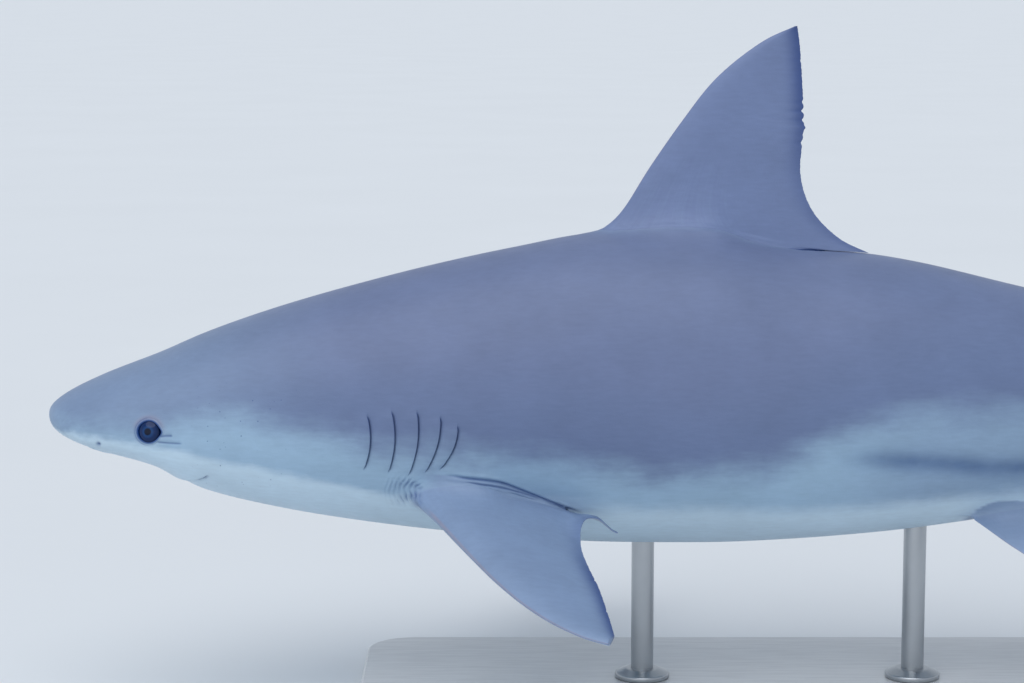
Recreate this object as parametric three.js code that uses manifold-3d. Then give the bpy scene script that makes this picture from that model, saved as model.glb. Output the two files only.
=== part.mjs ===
// A life-size bull shark (Carcharhinus leucas), swimming level with its tail in a gentle sweep, on a plain
// display stand. Millimetres, +Z up; the snout points to -X, the tail to +X, and Y runs across the body.
//
// The shark is laid out straight first: `along` is the distance behind the snout tip, `across` is the
// distance to the shark's right, and `up` is the height above the body's axis. Its rear half is then bent
// sideways, fins and all. Shark sizes are given in per cent of the total length, as such sizes usually are.

import * as THREE from 'three';
import { mergeVertices } from 'three/addons/utils/BufferGeometryUtils.js';
import Module from 'manifold-3d';

const wasm = await Module();
wasm.setup();

// ---------------------------------------------------------------- driving dimensions

const TOTAL_LENGTH = 2300;
const PERCENT = TOTAL_LENGTH / 100;
const SEAM = 0.35;                 // gap between neighbouring pieces
const AROUND = 28;                 // points round the body

const BELLY_CLEARANCE = 200;       // from the floor to the lowest point of the belly
const STAND_BASE = { length: 1040, width: 400, thickness: 24, corner: 60, bevel: 4 };
const STAND_ROD = { radius: 14, front: 31.7, rear: 46.4 };          // stations in per cent
const STAND_COLLAR = { radius: 34, height: 12, lip: 3 };

// ---------------------------------------------------------------- body profile

// Stations in per cent of the total length: distance behind the snout tip, height of the back and of the
// belly, height of the widest line, half the width there, and the fullness of the section above and below
// that line (2 is an ellipse, more is squarer).
const PROFILE = [
  { at: 0.00, back: -0.57, belly: -0.57, widest: -0.57, half: 0.00, above: 2.0, below: 2.2 },
  { at: 0.45, back: 0.10, belly: -1.46, widest: -0.85, half: 1.85, above: 2.0, below: 2.3 },
  { at: 2.60, back: 1.34, belly: -2.34, widest: -1.45, half: 3.75, above: 2.0, below: 2.5 },
  { at: 5.80, back: 2.59, belly: -3.22, widest: -1.50, half: 4.75, above: 2.0, below: 2.6 },
  { at: 8.00, back: 3.56, belly: -4.42, widest: -1.65, half: 5.25, above: 2.0, below: 2.4 },
  { at: 12.3, back: 5.08, belly: -5.58, widest: -1.55, half: 5.80, above: 2.0, below: 2.3 },
  { at: 16.6, back: 6.32, belly: -6.35, widest: -1.20, half: 6.20, above: 2.0, below: 2.2 },
  { at: 21.0, back: 7.43, belly: -6.90, widest: -0.85, half: 6.50, above: 2.0, below: 2.2 },
  { at: 25.1, back: 8.30, belly: -7.28, widest: -0.50, half: 6.70, above: 2.0, below: 2.2 },
  { at: 29.4, back: 9.02, belly: -7.52, widest: -0.25, half: 6.85, above: 2.0, below: 2.2 },
  { at: 34.8, back: 8.98, belly: -7.60, widest: 0.00, half: 6.90, above: 2.0, below: 2.1 },
  { at: 39.7, back: 8.16, belly: -7.40, widest: 0.00, half: 6.72, above: 2.0, below: 2.1 },
  { at: 43.0, back: 7.97, belly: -7.15, widest: 0.00, half: 6.50, above: 2.0, below: 2.1 },
  { at: 45.5, back: 7.60, belly: -6.90, widest: 0.00, half: 6.30, above: 2.0, below: 2.1 },
  { at: 52.1, back: 6.04, belly: -5.95, widest: -0.10, half: 5.45, above: 2.0, below: 2.0 },
  { at: 58.0, back: 4.70, belly: -4.87, widest: -0.20, half: 4.30, above: 2.0, below: 2.0 },
  { at: 64.0, back: 3.28, belly: -3.74, widest: -0.35, half: 3.00, above: 2.0, below: 2.0 },
  { at: 69.5, back: 2.17, belly: -2.87, widest: -0.43, half: 2.15, above: 2.0, below: 2.0 },
  { at: 73.6, back: 1.62, belly: -2.35, widest: -0.45, half: 1.70, above: 2.0, below: 2.0 },
  { at: 74.5, back: 1.46, belly: -2.25, widest: -0.43, half: 1.60, above: 2.0, below: 2.0 },
  { at: 76.5, back: 2.05, belly: -1.50, widest: 0.20, half: 1.35, above: 2.0, below: 2.0 },
  { at: 80.4, back: 3.90, belly: 1.00, widest: 2.55, half: 0.95, above: 2.0, below: 2.0 },
  { at: 86.0, back: 6.65, belly: 4.75, widest: 5.85, half: 0.60, above: 2.0, below: 2.0 },
  { at: 92.0, back: 9.60, belly: 8.55, widest: 9.15, half: 0.34, above: 2.0, below: 2.0 },
  { at: 97.3, back: 12.10, belly: 11.72, widest: 11.92, half: 0.13, above: 2.0, below: 2.0 },
];

// Where the body is parted into named lengths, in per cent.
const PARTING = { gills: 16.2, trunk: 22.7, abdomen: 44.0, tail: 56.0, caudal: 74.3, tip: 97.3 };

// The sideways sweep of the rear body: its heading turns one way and comes back towards the tail's tip.
const SWEEP = { from: 47.5, degrees: 13, waves: 0.64 };

// ---------------------------------------------------------------- small tools

const clamp = (x, low, high) => Math.min(high, Math.max(low, x));
const smooth = (x) => {
  const t = clamp(x, 0, 1);
  return t * t * (3 - 2 * t);
};
const mix = (a, b, t) => a + (b - a) * t;
const steps = (count) => Array.from({ length: count + 1 }, (_, i) => i / count);

// Smooth curve through named stations that never overshoots them (monotone cubic), read at any x.
function monotone(xs, ys) {
  const slopes = xs.slice(1).map((x, i) => (ys[i + 1] - ys[i]) / (x - xs[i]));
  const tangents = ys.map((_, i) => {
    if (i === 0) return slopes[0];
    if (i === ys.length - 1) return slopes[i - 1];
    const [before, after] = [slopes[i - 1], slopes[i]];
    if (before * after <= 0) return 0;
    const [h0, h1] = [xs[i] - xs[i - 1], xs[i + 1] - xs[i]];
    const [w0, w1] = [2 * h1 + h0, h1 + 2 * h0];
    return (w0 + w1) / (w0 / before + w1 / after);
  });
  return (x) => {
    const i = clamp(xs.findIndex((edge) => edge > x) - 1, 0, xs.length - 2);
    const last = x >= xs[xs.length - 1] ? xs.length - 2 : i;
    const h = xs[last + 1] - xs[last];
    const t = clamp((x - xs[last]) / h, 0, 1);
    const [t2, t3] = [t * t, t * t * t];
    return (2 * t3 - 3 * t2 + 1) * ys[last] + (t3 - 2 * t2 + t) * h * tangents[last]
      + (3 * t2 - 2 * t3) * ys[last + 1] + (t3 - t2) * h * tangents[last + 1];
  };
}

// Profile columns are read against the root of the distance, which makes the snout tip round.
const readProfile = {};
for (const column of ['back', 'belly', 'widest', 'half', 'above', 'below']) {
  const curve = monotone(PROFILE.map((p) => Math.sqrt(p.at)), PROFILE.map((p) => p[column]));
  readProfile[column] = (along) => curve(Math.sqrt(Math.max(0, along / PERCENT)));
}
const backAt = (along) => readProfile.back(along) * PERCENT;
const bellyAt = (along) => readProfile.belly(along) * PERCENT;
const widestAt = (along) => readProfile.widest(along) * PERCENT;
const halfAt = (along) => readProfile.half(along) * PERCENT;

// The snout is blunter than a round tip: its first part is drawn forward.
const SNOUT = { reach: 2.6 * PERCENT, forward: 3.4 };

// One point of the skin: turn 0 is the shark's right side, a quarter turn is the back.
function skinPoint(along, turn, grow = 0) {
  const [c, s] = [Math.cos(turn), Math.sin(turn)];
  const widest = widestAt(along);
  const upper = s >= 0;
  const power = 2 / (upper ? readProfile.above(along) : readProfile.below(along));
  const reach = (upper ? backAt(along) - widest : widest - bellyAt(along)) + grow;
  return new THREE.Vector3(
    along - SNOUT.forward * (1 - smooth(along / SNOUT.reach)),
    Math.sign(c) * Math.abs(c) ** power * (halfAt(along) + grow),
    widest + Math.sign(s) * Math.abs(s) ** power * reach,
  );
}

// Half the body's width at a height.
function sideAt(along, up) {
  const widest = widestAt(along);
  const upper = up >= widest;
  const power = upper ? readProfile.above(along) : readProfile.below(along);
  const reach = upper ? backAt(along) - widest : widest - bellyAt(along);
  return halfAt(along) * (1 - clamp(Math.abs(up - widest) / reach, 0, 1) ** power) ** (1 / power);
}

// Bends a straight point to the swimming pose, by following the swept axis.
const SWEEP_STEP = TOTAL_LENGTH / 400;
const sweptAxis = [{ x: 0, y: 0, heading: 0 }];
for (let along = 0; along < TOTAL_LENGTH; along += SWEEP_STEP) {
  const last = sweptAxis[sweptAxis.length - 1];
  const share = clamp((along / PERCENT - SWEEP.from) / (PARTING.tip - SWEEP.from), 0, 1);
  const heading = THREE.MathUtils.degToRad(SWEEP.degrees) * Math.sin(2 * Math.PI * SWEEP.waves * share);
  sweptAxis.push({
    x: last.x + Math.cos(heading) * SWEEP_STEP,
    y: last.y + Math.sin(heading) * SWEEP_STEP,
    heading,
  });
}

function bend(point) {
  const place = clamp(point.x / SWEEP_STEP, 0, sweptAxis.length - 1.001);
  const [a, b] = [sweptAxis[Math.floor(place)], sweptAxis[Math.floor(place) + 1]];
  const t = place - Math.floor(place);
  const heading = mix(a.heading, b.heading, t);
  const before = Math.min(point.x, 0);
  return new THREE.Vector3(
    mix(a.x, b.x, t) + before - point.y * Math.sin(heading),
    mix(a.y, b.y, t) + point.y * Math.cos(heading),
    point.z,
  );
}

// Closed surface over rings of equal length, with a fan over each end.
function loft(rings) {
  const size = rings[0].length;
  const positions = rings.flat().flatMap((p) => [p.x, p.y, p.z]);
  const centre = (ring) => ring.reduce((sum, p) => sum.add(p), new THREE.Vector3()).divideScalar(size);
  const ends = [centre(rings[0]), centre(rings[rings.length - 1])];
  ends.forEach((p) => positions.push(p.x, p.y, p.z));
  const index = [];
  const [first, last] = [rings.length * size, rings.length * size + 1];
  for (let j = 0; j < size; j += 1) {
    const next = (j + 1) % size;
    index.push(first, next, j);
    index.push(last, (rings.length - 1) * size + j, (rings.length - 1) * size + next);
    for (let i = 0; i < rings.length - 1; i += 1) {
      const [a, b] = [i * size + j, i * size + next];
      index.push(a, b, b + size, a, b + size, a + size);
    }
  }
  const geometry = new THREE.BufferGeometry();
  geometry.setAttribute('position', new THREE.Float32BufferAttribute(positions, 3));
  geometry.setIndex(index);
  return geometry;
}

// A three.js geometry as a solid, whichever way round its faces were listed.
function solidOf(geometry) {
  const bare = geometry.clone();
  bare.deleteAttribute('normal');
  bare.deleteAttribute('uv');
  const merged = mergeVertices(bare, 1e-4);
  const make = (index) => new wasm.Manifold(new wasm.Mesh({
    numProp: 3,
    vertProperties: new Float32Array(merged.attributes.position.array),
    triVerts: new Uint32Array(index),
  }));
  const index = Array.from(merged.index.array);
  const solid = make(index);
  if (solid.volume() > 0) return solid;
  return make(index.map((_, i) => index[i - (i % 3) + [0, 2, 1][i % 3]]));
}

// The solid's largest connected piece, as a three.js geometry.
function geometryOf(solid) {
  const pieces = solid.decompose().sort((a, b) => b.volume() - a.volume());
  const mesh = pieces[0].getMesh();
  const geometry = new THREE.BufferGeometry();
  geometry.setAttribute('position', new THREE.Float32BufferAttribute(mesh.vertProperties, 3));
  geometry.setIndex(Array.from(mesh.triVerts));
  geometry.computeVertexNormals();
  return geometry;
}

// ---------------------------------------------------------------- body lengths

const around = Array.from({ length: AROUND }, (_, i) => (i / AROUND) * 2 * Math.PI);
const ringAt = (along, grow = 0) => around.map((turn) => bend(skinPoint(along, turn, grow)));

const station = (percent) => percent * PERCENT;
const NOSE_START = 0.3;            // the first ring, a hair behind the snout tip

// Ring stations of a length of body, which stops half a seam short of its two partings.
const ringsBetween = (from, to, count, crowd = 1) => steps(count).map(
  (t) => mix(Math.max(NOSE_START, station(from) + SEAM / 2), station(to) - SEAM / 2, t ** crowd),
);
const bodyLength = (stations, grow = 0) => solidOf(loft(stations.map((along) => ringAt(along, grow))));

const LENGTHS = {
  head: ringsBetween(0, PARTING.gills, 15, 1.7),
  gills: ringsBetween(PARTING.gills, PARTING.trunk, 4),
  trunk: ringsBetween(PARTING.trunk, PARTING.abdomen, 11),
  abdomen: ringsBetween(PARTING.abdomen, PARTING.tail, 7),
  tail: ringsBetween(PARTING.tail, PARTING.caudal, 11),
  caudal: ringsBetween(PARTING.caudal, PARTING.tip, 10),
};

// The body behind the head, a seam's width larger, which fins and rods are cut to.
const bodyCutter = bodyLength(Object.values(LENGTHS).slice(1).flat(), SEAM);

// ---------------------------------------------------------------- mouth, nostrils, eyes and gills

const MOUTH = { front: 5.95, corner: 8.9, halfWidth: 5.0, corners: -2.95, jawEnd: 10.6, gap: 1.4 };
const NOSTRIL = { along: 2.9, across: 2.75, length: 1.15, width: 0.30, depth: 0.55, turn: 32 };
const EYE = { along: 5.76, up: -0.90, radius: 0.66, depth: 0.40, stands: 0.13 };
const GILLS = [
  { top: [17.16, 0.18], bottom: [16.96, -2.62] },
  { top: [18.42, 0.41], bottom: [18.22, -2.75] },
  { top: [19.72, 0.41], bottom: [19.26, -2.91] },
  { top: [20.92, 0.15], bottom: [20.12, -2.73] },
  { top: [21.81, -0.33], bottom: [20.90, -2.55] },
];
const GILL = { width: 2.0, depth: 9, slant: 6, bow: 0.22, proud: 8 };

// A parabola-fronted block under the mouth line; what it takes from the head is the lower jaw.
function jawBlock(gap, seam) {
  const front = station(MOUTH.front) - gap;
  const reach = station(MOUTH.corner) - front;
  const outline = new THREE.Shape();
  const half = (along) => station(MOUTH.halfWidth) * Math.sqrt(Math.max(0, along - front) / reach) + gap;
  const shares = steps(7).map((t) => t * t);
  const end = station(MOUTH.jawEnd) + seam;
  shares.forEach((t, i) => {
    const along = mix(front, station(MOUTH.corner), t);
    if (i === 0) outline.moveTo(along, -half(along));
    else outline.lineTo(along, -half(along));
  });
  outline.lineTo(end, -station(MOUTH.halfWidth) * 2);
  outline.lineTo(end, station(MOUTH.halfWidth) * 2);
  [...shares].reverse().forEach((t) => {
    const along = mix(front, station(MOUTH.corner), t);
    outline.lineTo(along, half(along));
  });
  const height = TOTAL_LENGTH / 4;
  const block = new THREE.ExtrudeGeometry(outline, { depth: height, bevelEnabled: false });
  block.translate(0, 0, station(MOUTH.corners) + gap - height);
  return solidOf(block);
}

// The skin's outward direction at a point of the side.
function outwardAt(along, up, side) {
  const at = (x, z) => new THREE.Vector3(x, side * sideAt(x, z), z);
  const reach = station(0.3);
  const forward = at(along + reach, up).sub(at(along - reach, up));
  const upward = at(along, up + reach).sub(at(along, up - reach));
  return forward.cross(upward).multiplyScalar(-side).normalize();
}

// Where an eye sits: a lens-shaped ball that faces out along the skin's own direction.
function eyeSeat(side) {
  const [along, up] = [station(EYE.along), station(EYE.up)];
  const facing = outwardAt(along, up, side);
  const centre = new THREE.Vector3(along, side * sideAt(along, up), up);
  centre.addScaledVector(facing, station(EYE.stands - EYE.depth));
  const turn = new THREE.Quaternion().setFromUnitVectors(new THREE.Vector3(0, 0, 1), facing);
  return { centre, turn };
}

function eyeBall(grow, detail) {
  const ball = new THREE.SphereGeometry(1, detail, detail / 2);
  ball.rotateX(Math.PI / 2);
  return ball.scale(station(EYE.radius) + grow, station(EYE.radius) + grow, station(EYE.depth) + grow);
}

function placed(geometry, { centre, turn }) {
  return geometry.clone().applyMatrix4(
    new THREE.Matrix4().compose(centre, turn, new THREE.Vector3(1, 1, 1)),
  );
}

// A slanting slot under the snout.
function nostrilCut(side) {
  const cut = new THREE.SphereGeometry(1, 12, 8);
  cut.scale(station(NOSTRIL.length) / 2, station(NOSTRIL.width), station(NOSTRIL.depth));
  cut.rotateZ(side * THREE.MathUtils.degToRad(90 + NOSTRIL.turn));
  const along = station(NOSTRIL.along);
  const across = station(NOSTRIL.across);
  const [half, widest] = [halfAt(along), widestAt(along)];
  const power = readProfile.below(along);
  const up = widest - (widest - bellyAt(along)) * (1 - (across / half) ** power) ** (1 / power);
  return solidOf(cut.translate(along, side * across, up));
}

// One gill slit: a thin curved blade that enters the skin slanting forwards.
function gillCut({ top, bottom }, side) {
  const rings = steps(3).map((t) => {
    const bow = GILL.bow * Math.sin(Math.PI * t);
    const along = station(mix(top[0], bottom[0], t) + bow);
    const up = station(mix(top[1], bottom[1], t));
    const skin = sideAt(along, up);
    const half = (GILL.width / 2) * Math.sin(Math.PI * mix(0.12, 0.88, t));
    const outer = [along + GILL.slant * 0.5, skin + GILL.proud];
    const inner = [along - GILL.slant, skin - GILL.depth];
    return [[outer, -half], [outer, half], [inner, half], [inner, -half]]
      .map(([[x, y], shift]) => bend(new THREE.Vector3(x + shift, side * y, up)));
  });
  return solidOf(loft(rings));
}

const sides = [{ name: 'left', side: -1 }, { name: 'right', side: 1 }];

const wholeHead = bodyLength(LENGTHS.head);
const lowerJaw = wholeHead.intersect(jawBlock(0, 0));
let head = wholeHead.subtract(jawBlock(MOUTH.gap, SEAM));
let gillRegion = bodyLength(LENGTHS.gills);
for (const { side } of sides) {
  head = head.subtract(nostrilCut(side)).subtract(solidOf(placed(eyeBall(SEAM, 14), eyeSeat(side))));
  for (const slit of GILLS) gillRegion = gillRegion.subtract(gillCut(slit, side));
}

// ---------------------------------------------------------------- fins

// A fin as a loft of chords. Each chord runs from the leading to the trailing edge; `root` lists the first
// chords, inside the body, and the blade's two edges are smooth curves through their points.
function finRows({ root, leading, trailing, rows }) {
  const [front, rear] = [leading, trailing].map((edge) => new THREE.SplineCurve(
    edge.map(([a, b]) => new THREE.Vector2(a, b)),
  ));
  const pair = ({ lead, trail }) => ({ front: new THREE.Vector2(...lead), rear: new THREE.Vector2(...trail) });
  return [
    ...root.map(pair),
    ...steps(rows).map((t) => ({ front: front.getPoint(t), rear: rear.getPoint(t) })),
  ];
}

// A fin's section, 0 to 1 along the chord: the four-digit aerofoil's half thickness, 1 where it is fullest.
const section = (share) => 10 * (0.2969 * Math.sqrt(share) - 0.126 * share - 0.3516 * share ** 2
  + 0.2843 * share ** 3 - 0.1015 * share ** 4);

const FIN_EDGE = 0.9;              // half the thickness at the rear edge
const FIN_NOSE = 0.17;             // share of the chord over which that thickness comes in
const FLARE_REACH = 0.8 * PERCENT; // how far out from the body a fin's root flares

// How much of its thickness a fin's free rear tip loses, at a station and a distance out from the body.
function thinning({ from, to, by, near, far }, along, out) {
  const rearward = smooth((along / PERCENT - from) / (to - from));
  return by * rearward * (1 - smooth((out / PERCENT - near) / (far - near)));
}

function finSolid(fin) {
  const { thickness, chordSteps, span, flare = 0, thin, place, grow = 0 } = fin;
  const shares = steps(chordSteps).map((t) => (1 - Math.cos(Math.PI * t)) / 2);
  const rings = finRows(fin).map(({ front, rear }) => {
    const out = Math.max(0, (front.y + rear.y) / 2);
    const thick = mix(thickness.root, thickness.tip, clamp(out / span, 0, 1));
    const face = (share) => {
      const height = mix(front.y, rear.y, share);
      const skirt = flare * Math.exp(-Math.max(0, height) / FLARE_REACH) * Math.sin(Math.PI * share);
      const full = thick * section(share) + skirt;
      const kept = thin ? 1 - thinning(thin, mix(front.x, rear.x, share), height) : 1;
      return full * kept + FIN_EDGE * smooth(share / FIN_NOSE) + (share > 0 ? grow : 0);
    };
    const margin = rear.clone().sub(front).normalize().multiplyScalar(2 * grow);
    const spot = (share, side) => {
      const shift = side * face(share);
      const chord = front.clone().lerp(rear, share).addScaledVector(margin, share * 2 - 1);
      return bend(place(chord.x, chord.y, shift));
    };
    const over = shares.map((share) => spot(share, 1));
    const under = shares.slice(1).reverse().map((share) => spot(share, -1));
    return [...over, ...under];
  });
  return solidOf(loft(rings));
}

const pct = (pairs) => pairs.map(([a, b]) => [a * PERCENT, b * PERCENT]);
const rootPct = (rows) => rows.map(({ lead, trail }) => ({ lead: pct([lead])[0], trail: pct([trail])[0] }));

// Fins on the back and under the tail stand in the middle plane; heights are from the skin.
const onBack = (along, out, shift) => new THREE.Vector3(along, shift, backAt(along) + out);
const onBelly = (along, out, shift) => new THREE.Vector3(along, shift, bellyAt(along) - out);
const inPlane = (along, up, shift) => new THREE.Vector3(along, shift, up);

const firstDorsal = {
  root: rootPct([{ lead: [28.4, -1.1], trail: [39.3, -1.1] }, { lead: [28.7, -0.35], trail: [39.6, -0.12] }]),
  leading: pct([[29.1, -0.12], [29.8, 0.42], [30.65, 1.42], [31.93, 3.50], [33.66, 6.02], [35.4, 8.30],
    [37.8, 10.62], [39.5, 11.70]]),
  trailing: pct([[43.6, 0.05], [42.0, 0.70], [40.55, 2.10], [39.90, 4.00], [40.05, 6.50], [39.93, 8.70],
    [39.78, 10.60], [39.62, 11.72]]),
  thickness: { root: 0.60 * PERCENT, tip: 0.10 * PERCENT },
  span: 12 * PERCENT,
  flare: 0.42 * PERCENT,
  rows: 12,
  chordSteps: 8,
  place: onBack,
};

const secondDorsal = {
  root: rootPct([{ lead: [61.0, -0.8], trail: [66.0, -0.8] }, { lead: [61.3, -0.2], trail: [66.2, -0.08] }]),
  leading: pct([[61.6, -0.06], [62.2, 0.50], [63.2, 1.55], [64.4, 2.70], [65.5, 3.35]]),
  trailing: pct([[69.8, 0.14], [68.0, 0.62], [66.6, 1.50], [65.95, 2.55], [65.85, 3.38]]),
  thickness: { root: 0.28 * PERCENT, tip: 0.07 * PERCENT },
  span: 3.4 * PERCENT,
  flare: 0.20 * PERCENT,
  rows: 7,
  chordSteps: 5,
  place: onBack,
};

const analFin = {
  root: rootPct([{ lead: [62.3, -0.8], trail: [67.2, -0.8] }, { lead: [62.6, -0.2], trail: [67.5, -0.08] }]),
  leading: pct([[62.9, -0.06], [63.6, 0.55], [64.7, 1.75], [65.9, 2.95], [67.0, 3.80]]),
  trailing: pct([[71.0, 0.16], [69.2, 0.55], [67.9, 1.25], [67.3, 2.40], [67.4, 3.78]]),
  thickness: { root: 0.28 * PERCENT, tip: 0.07 * PERCENT },
  span: 3.8 * PERCENT,
  flare: 0.20 * PERCENT,
  rows: 7,
  chordSteps: 5,
  place: onBelly,
};

// Paired fins lie in a plane that leaves the body drooping and pitched nose-up, and `out` runs from the skin
// outwards along it. Their free rear lobe lies flatter than the blade, and its tip curls down.
function pairedPlace({ at, across, up, droop, pitch, lobe }, side) {
  const [fall, tilt, flatter] = [droop, pitch, lobe.flatter].map(THREE.MathUtils.degToRad);
  return (along, out, shift) => {
    const [back, outward] = [along / PERCENT, out / PERCENT];
    const near = 1 - smooth(outward / lobe.span);
    const raised = smooth((back - lobe.from) / (lobe.to - lobe.from))
      * (lobe.lift + Math.max(0, outward) * Math.sin(flatter));
    const curled = smooth((back - lobe.curlFrom) / (lobe.tip - lobe.curlFrom)) * lobe.curl;
    return new THREE.Vector3(
      along,
      side * (across * PERCENT + out * Math.cos(fall) - shift * Math.sin(fall)),
      (up - outward * Math.sin(fall) - (back - at) * Math.tan(tilt) + near * (raised - curled)) * PERCENT
        + shift * Math.cos(fall),
    );
  };
}

const pectoralFin = (side) => ({
  root: rootPct([{ lead: [19.3, -1.8], trail: [26.6, -1.8] }, { lead: [19.4, -0.35], trail: [27.0, -0.30] }]),
  leading: pct([[19.55, 0.10], [19.76, 0.60], [20.13, 1.30], [20.55, 2.10], [21.11, 3.30], [21.76, 4.75],
    [22.67, 6.75], [23.78, 9.05], [25.07, 11.25], [26.43, 12.95], [27.87, 14.10], [29.10, 14.55]]),
  trailing: pct([[30.10, 0.12], [29.50, 0.30], [28.95, 0.50], [28.50, 0.90], [28.22, 1.60], [28.10, 2.60],
    [28.15, 4.30], [28.45, 6.30], [28.80, 8.10], [29.05, 10.00], [29.28, 12.10], [29.42, 13.60]]),
  thickness: { root: 1.00 * PERCENT, tip: 0.11 * PERCENT },
  span: 14.6 * PERCENT,
  flare: 0.55 * PERCENT,
  thin: { from: 26.9, to: 28.5, by: 0.72, near: 1.8, far: 4.0 },
  rows: 11,
  chordSteps: 8,
  place: pairedPlace({ at: 19.8, across: 5.65, up: -4.15, droop: 11, pitch: 8,
    lobe: { from: 27.2, to: 28.6, lift: 0.20, flatter: 22, span: 3.5, curlFrom: 28.9, tip: 30.1, curl: 0.65 },
  }, side),
});

const pelvicFin = (side) => ({
  root: rootPct([{ lead: [48.2, -1.2], trail: [53.6, -1.2] }, { lead: [48.4, -0.3], trail: [53.9, -0.2] }]),
  leading: pct([[48.6, 0.10], [49.4, 1.15], [50.5, 2.65], [51.7, 4.05], [52.95, 4.95]]),
  trailing: pct([[56.4, 0.30], [55.2, 1.15], [54.2, 2.25], [53.65, 3.60], [53.45, 4.82]]),
  thickness: { root: 0.36 * PERCENT, tip: 0.09 * PERCENT },
  span: 4.8 * PERCENT,
  flare: 0.20 * PERCENT,
  rows: 7,
  chordSteps: 6,
  place: pairedPlace({ at: 48.6, across: 2.95, up: -5.55, droop: 40, pitch: -9,
    lobe: { from: 53.5, to: 55.5, lift: 0, flatter: 0, span: 2, curlFrom: 53.8, tip: 56.6, curl: 0.2 },
  }, side),
});

// The tail fin: the upper web hangs below the upswept tail, and the lower lobe hangs below the root. They
// part along a line from the root of the tail to the fork.
const FORK = { lead: [75.4, -1.3], trail: [83.3, -1.95] };
const upperWeb = (grow) => {
  const drop = (2 * grow) / PERCENT;
  return {
    root: rootPct([{ lead: [FORK.lead[0], FORK.lead[1] - drop], trail: [FORK.trail[0], FORK.trail[1] - drop] }]),
    leading: pct([[76.2, -0.6], [79.2, 1.75], [82.6, 3.95], [86.0, 5.75], [88.8, 7.20], [91.1, 8.35],
      [94.1, 9.95], [97.0, 11.72]]),
    trailing: pct([[83.35, -1.75], [84.6, -0.75], [86.9, 1.25], [89.5, 3.75], [91.8, 5.75], [92.9, 6.25],
      [94.6, 6.85], [97.42, 11.70]]),
    thickness: { root: 0.20 * PERCENT, tip: 0.10 * PERCENT },
    span: 12 * PERCENT,
    rows: 12,
    chordSteps: 5,
    place: inPlane,
    grow,
  };
};

const lowerLobe = {
  root: rootPct([{ lead: [75.0, 0.2], trail: [83.2, -1.2] }]),
  leading: pct([[74.25, -1.5], [74.7, -3.1], [76.5, -5.2], [78.8, -7.6], [80.9, -9.75], [82.55, -11.3]]),
  trailing: pct([[83.25, -1.9], [82.55, -3.4], [82.2, -5.3], [82.35, -7.4], [82.75, -9.5], [83.05, -11.15]]),
  thickness: { root: 0.26 * PERCENT, tip: 0.10 * PERCENT },
  span: 11 * PERCENT,
  rows: 9,
  chordSteps: 6,
  place: inPlane,
};

const upperLobe = bodyLength(LENGTHS.caudal).add(finSolid(upperWeb(0)));
const upperLobeCutter = bodyCutter.add(finSolid(upperWeb(SEAM)));
const cutToBody = (fin) => finSolid(fin).subtract(bodyCutter);

// ---------------------------------------------------------------- materials

const material = (color, roughness, metalness = 0) => new THREE.MeshStandardMaterial({
  color, roughness, metalness,
});
const finish = {
  back: material(0x6a7690, 0.5),
  flank: material(0x7f8ca4, 0.5),
  belly: material(0xc9d6e0, 0.5),
  fin: material(0x66718c, 0.55),
  eye: material(0x14181f, 0.1),
  base: material(0x2a2c30, 0.45),
  steel: material(0xb9bcc0, 0.3, 1),
};

// ---------------------------------------------------------------- assembly

function piece(name, geometry, look) {
  const mesh = new THREE.Mesh(geometry, look);
  mesh.name = name;
  return mesh;
}

const shark = new THREE.Group();
shark.add(
  piece('head', geometryOf(head), finish.back),
  piece('lower_jaw', geometryOf(lowerJaw), finish.belly),
  piece('gill_region', geometryOf(gillRegion), finish.flank),
  piece('trunk_front', geometryOf(bodyLength(LENGTHS.trunk)), finish.back),
  piece('trunk_rear', geometryOf(bodyLength(LENGTHS.abdomen)), finish.back),
  piece('tail_stock', geometryOf(bodyLength(LENGTHS.tail)), finish.flank),
  piece('caudal_fin_upper_lobe', geometryOf(upperLobe), finish.fin),
  piece('caudal_fin_lower_lobe', geometryOf(finSolid(lowerLobe).subtract(upperLobeCutter)), finish.fin),
  piece('first_dorsal_fin', geometryOf(cutToBody(firstDorsal)), finish.fin),
  piece('second_dorsal_fin', geometryOf(cutToBody(secondDorsal)), finish.fin),
  piece('anal_fin', geometryOf(cutToBody(analFin)), finish.fin),
);
for (const { name, side } of sides) {
  shark.add(
    piece(`pectoral_fin_${name}`, geometryOf(cutToBody(pectoralFin(side))), finish.fin),
    piece(`pelvic_fin_${name}`, geometryOf(cutToBody(pelvicFin(side))), finish.fin),
  );
  const eye = piece(`eye_${name}`, eyeBall(0, 14), finish.eye);
  const seat = eyeSeat(side);
  eye.position.copy(seat.centre);
  eye.quaternion.copy(seat.turn);
  shark.add(eye);
}

// ---------------------------------------------------------------- display stand

const bellyLow = Math.min(...steps(200).map((t) => bellyAt(t * station(PARTING.caudal))));
const axisHeight = BELLY_CLEARANCE - bellyLow;

function standBase() {
  const { length, width, corner, thickness, bevel } = STAND_BASE;
  const [x, y] = [length / 2 - bevel, width / 2 - bevel];
  const outline = new THREE.Shape();
  outline.moveTo(-x + corner, -y);
  outline.lineTo(x - corner, -y);
  outline.absarc(x - corner, -y + corner, corner, -Math.PI / 2, 0);
  outline.lineTo(x, y - corner);
  outline.absarc(x - corner, y - corner, corner, 0, Math.PI / 2);
  outline.lineTo(-x + corner, y);
  outline.absarc(-x + corner, y - corner, corner, Math.PI / 2, Math.PI);
  outline.lineTo(-x, -y + corner);
  outline.absarc(-x + corner, -y + corner, corner, Math.PI, 1.5 * Math.PI);
  return new THREE.ExtrudeGeometry(outline, {
    depth: thickness - 2 * bevel, bevelThickness: bevel, bevelSize: bevel, bevelSegments: 1, curveSegments: 5,
  }).translate(0, 0, bevel);
}

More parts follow.
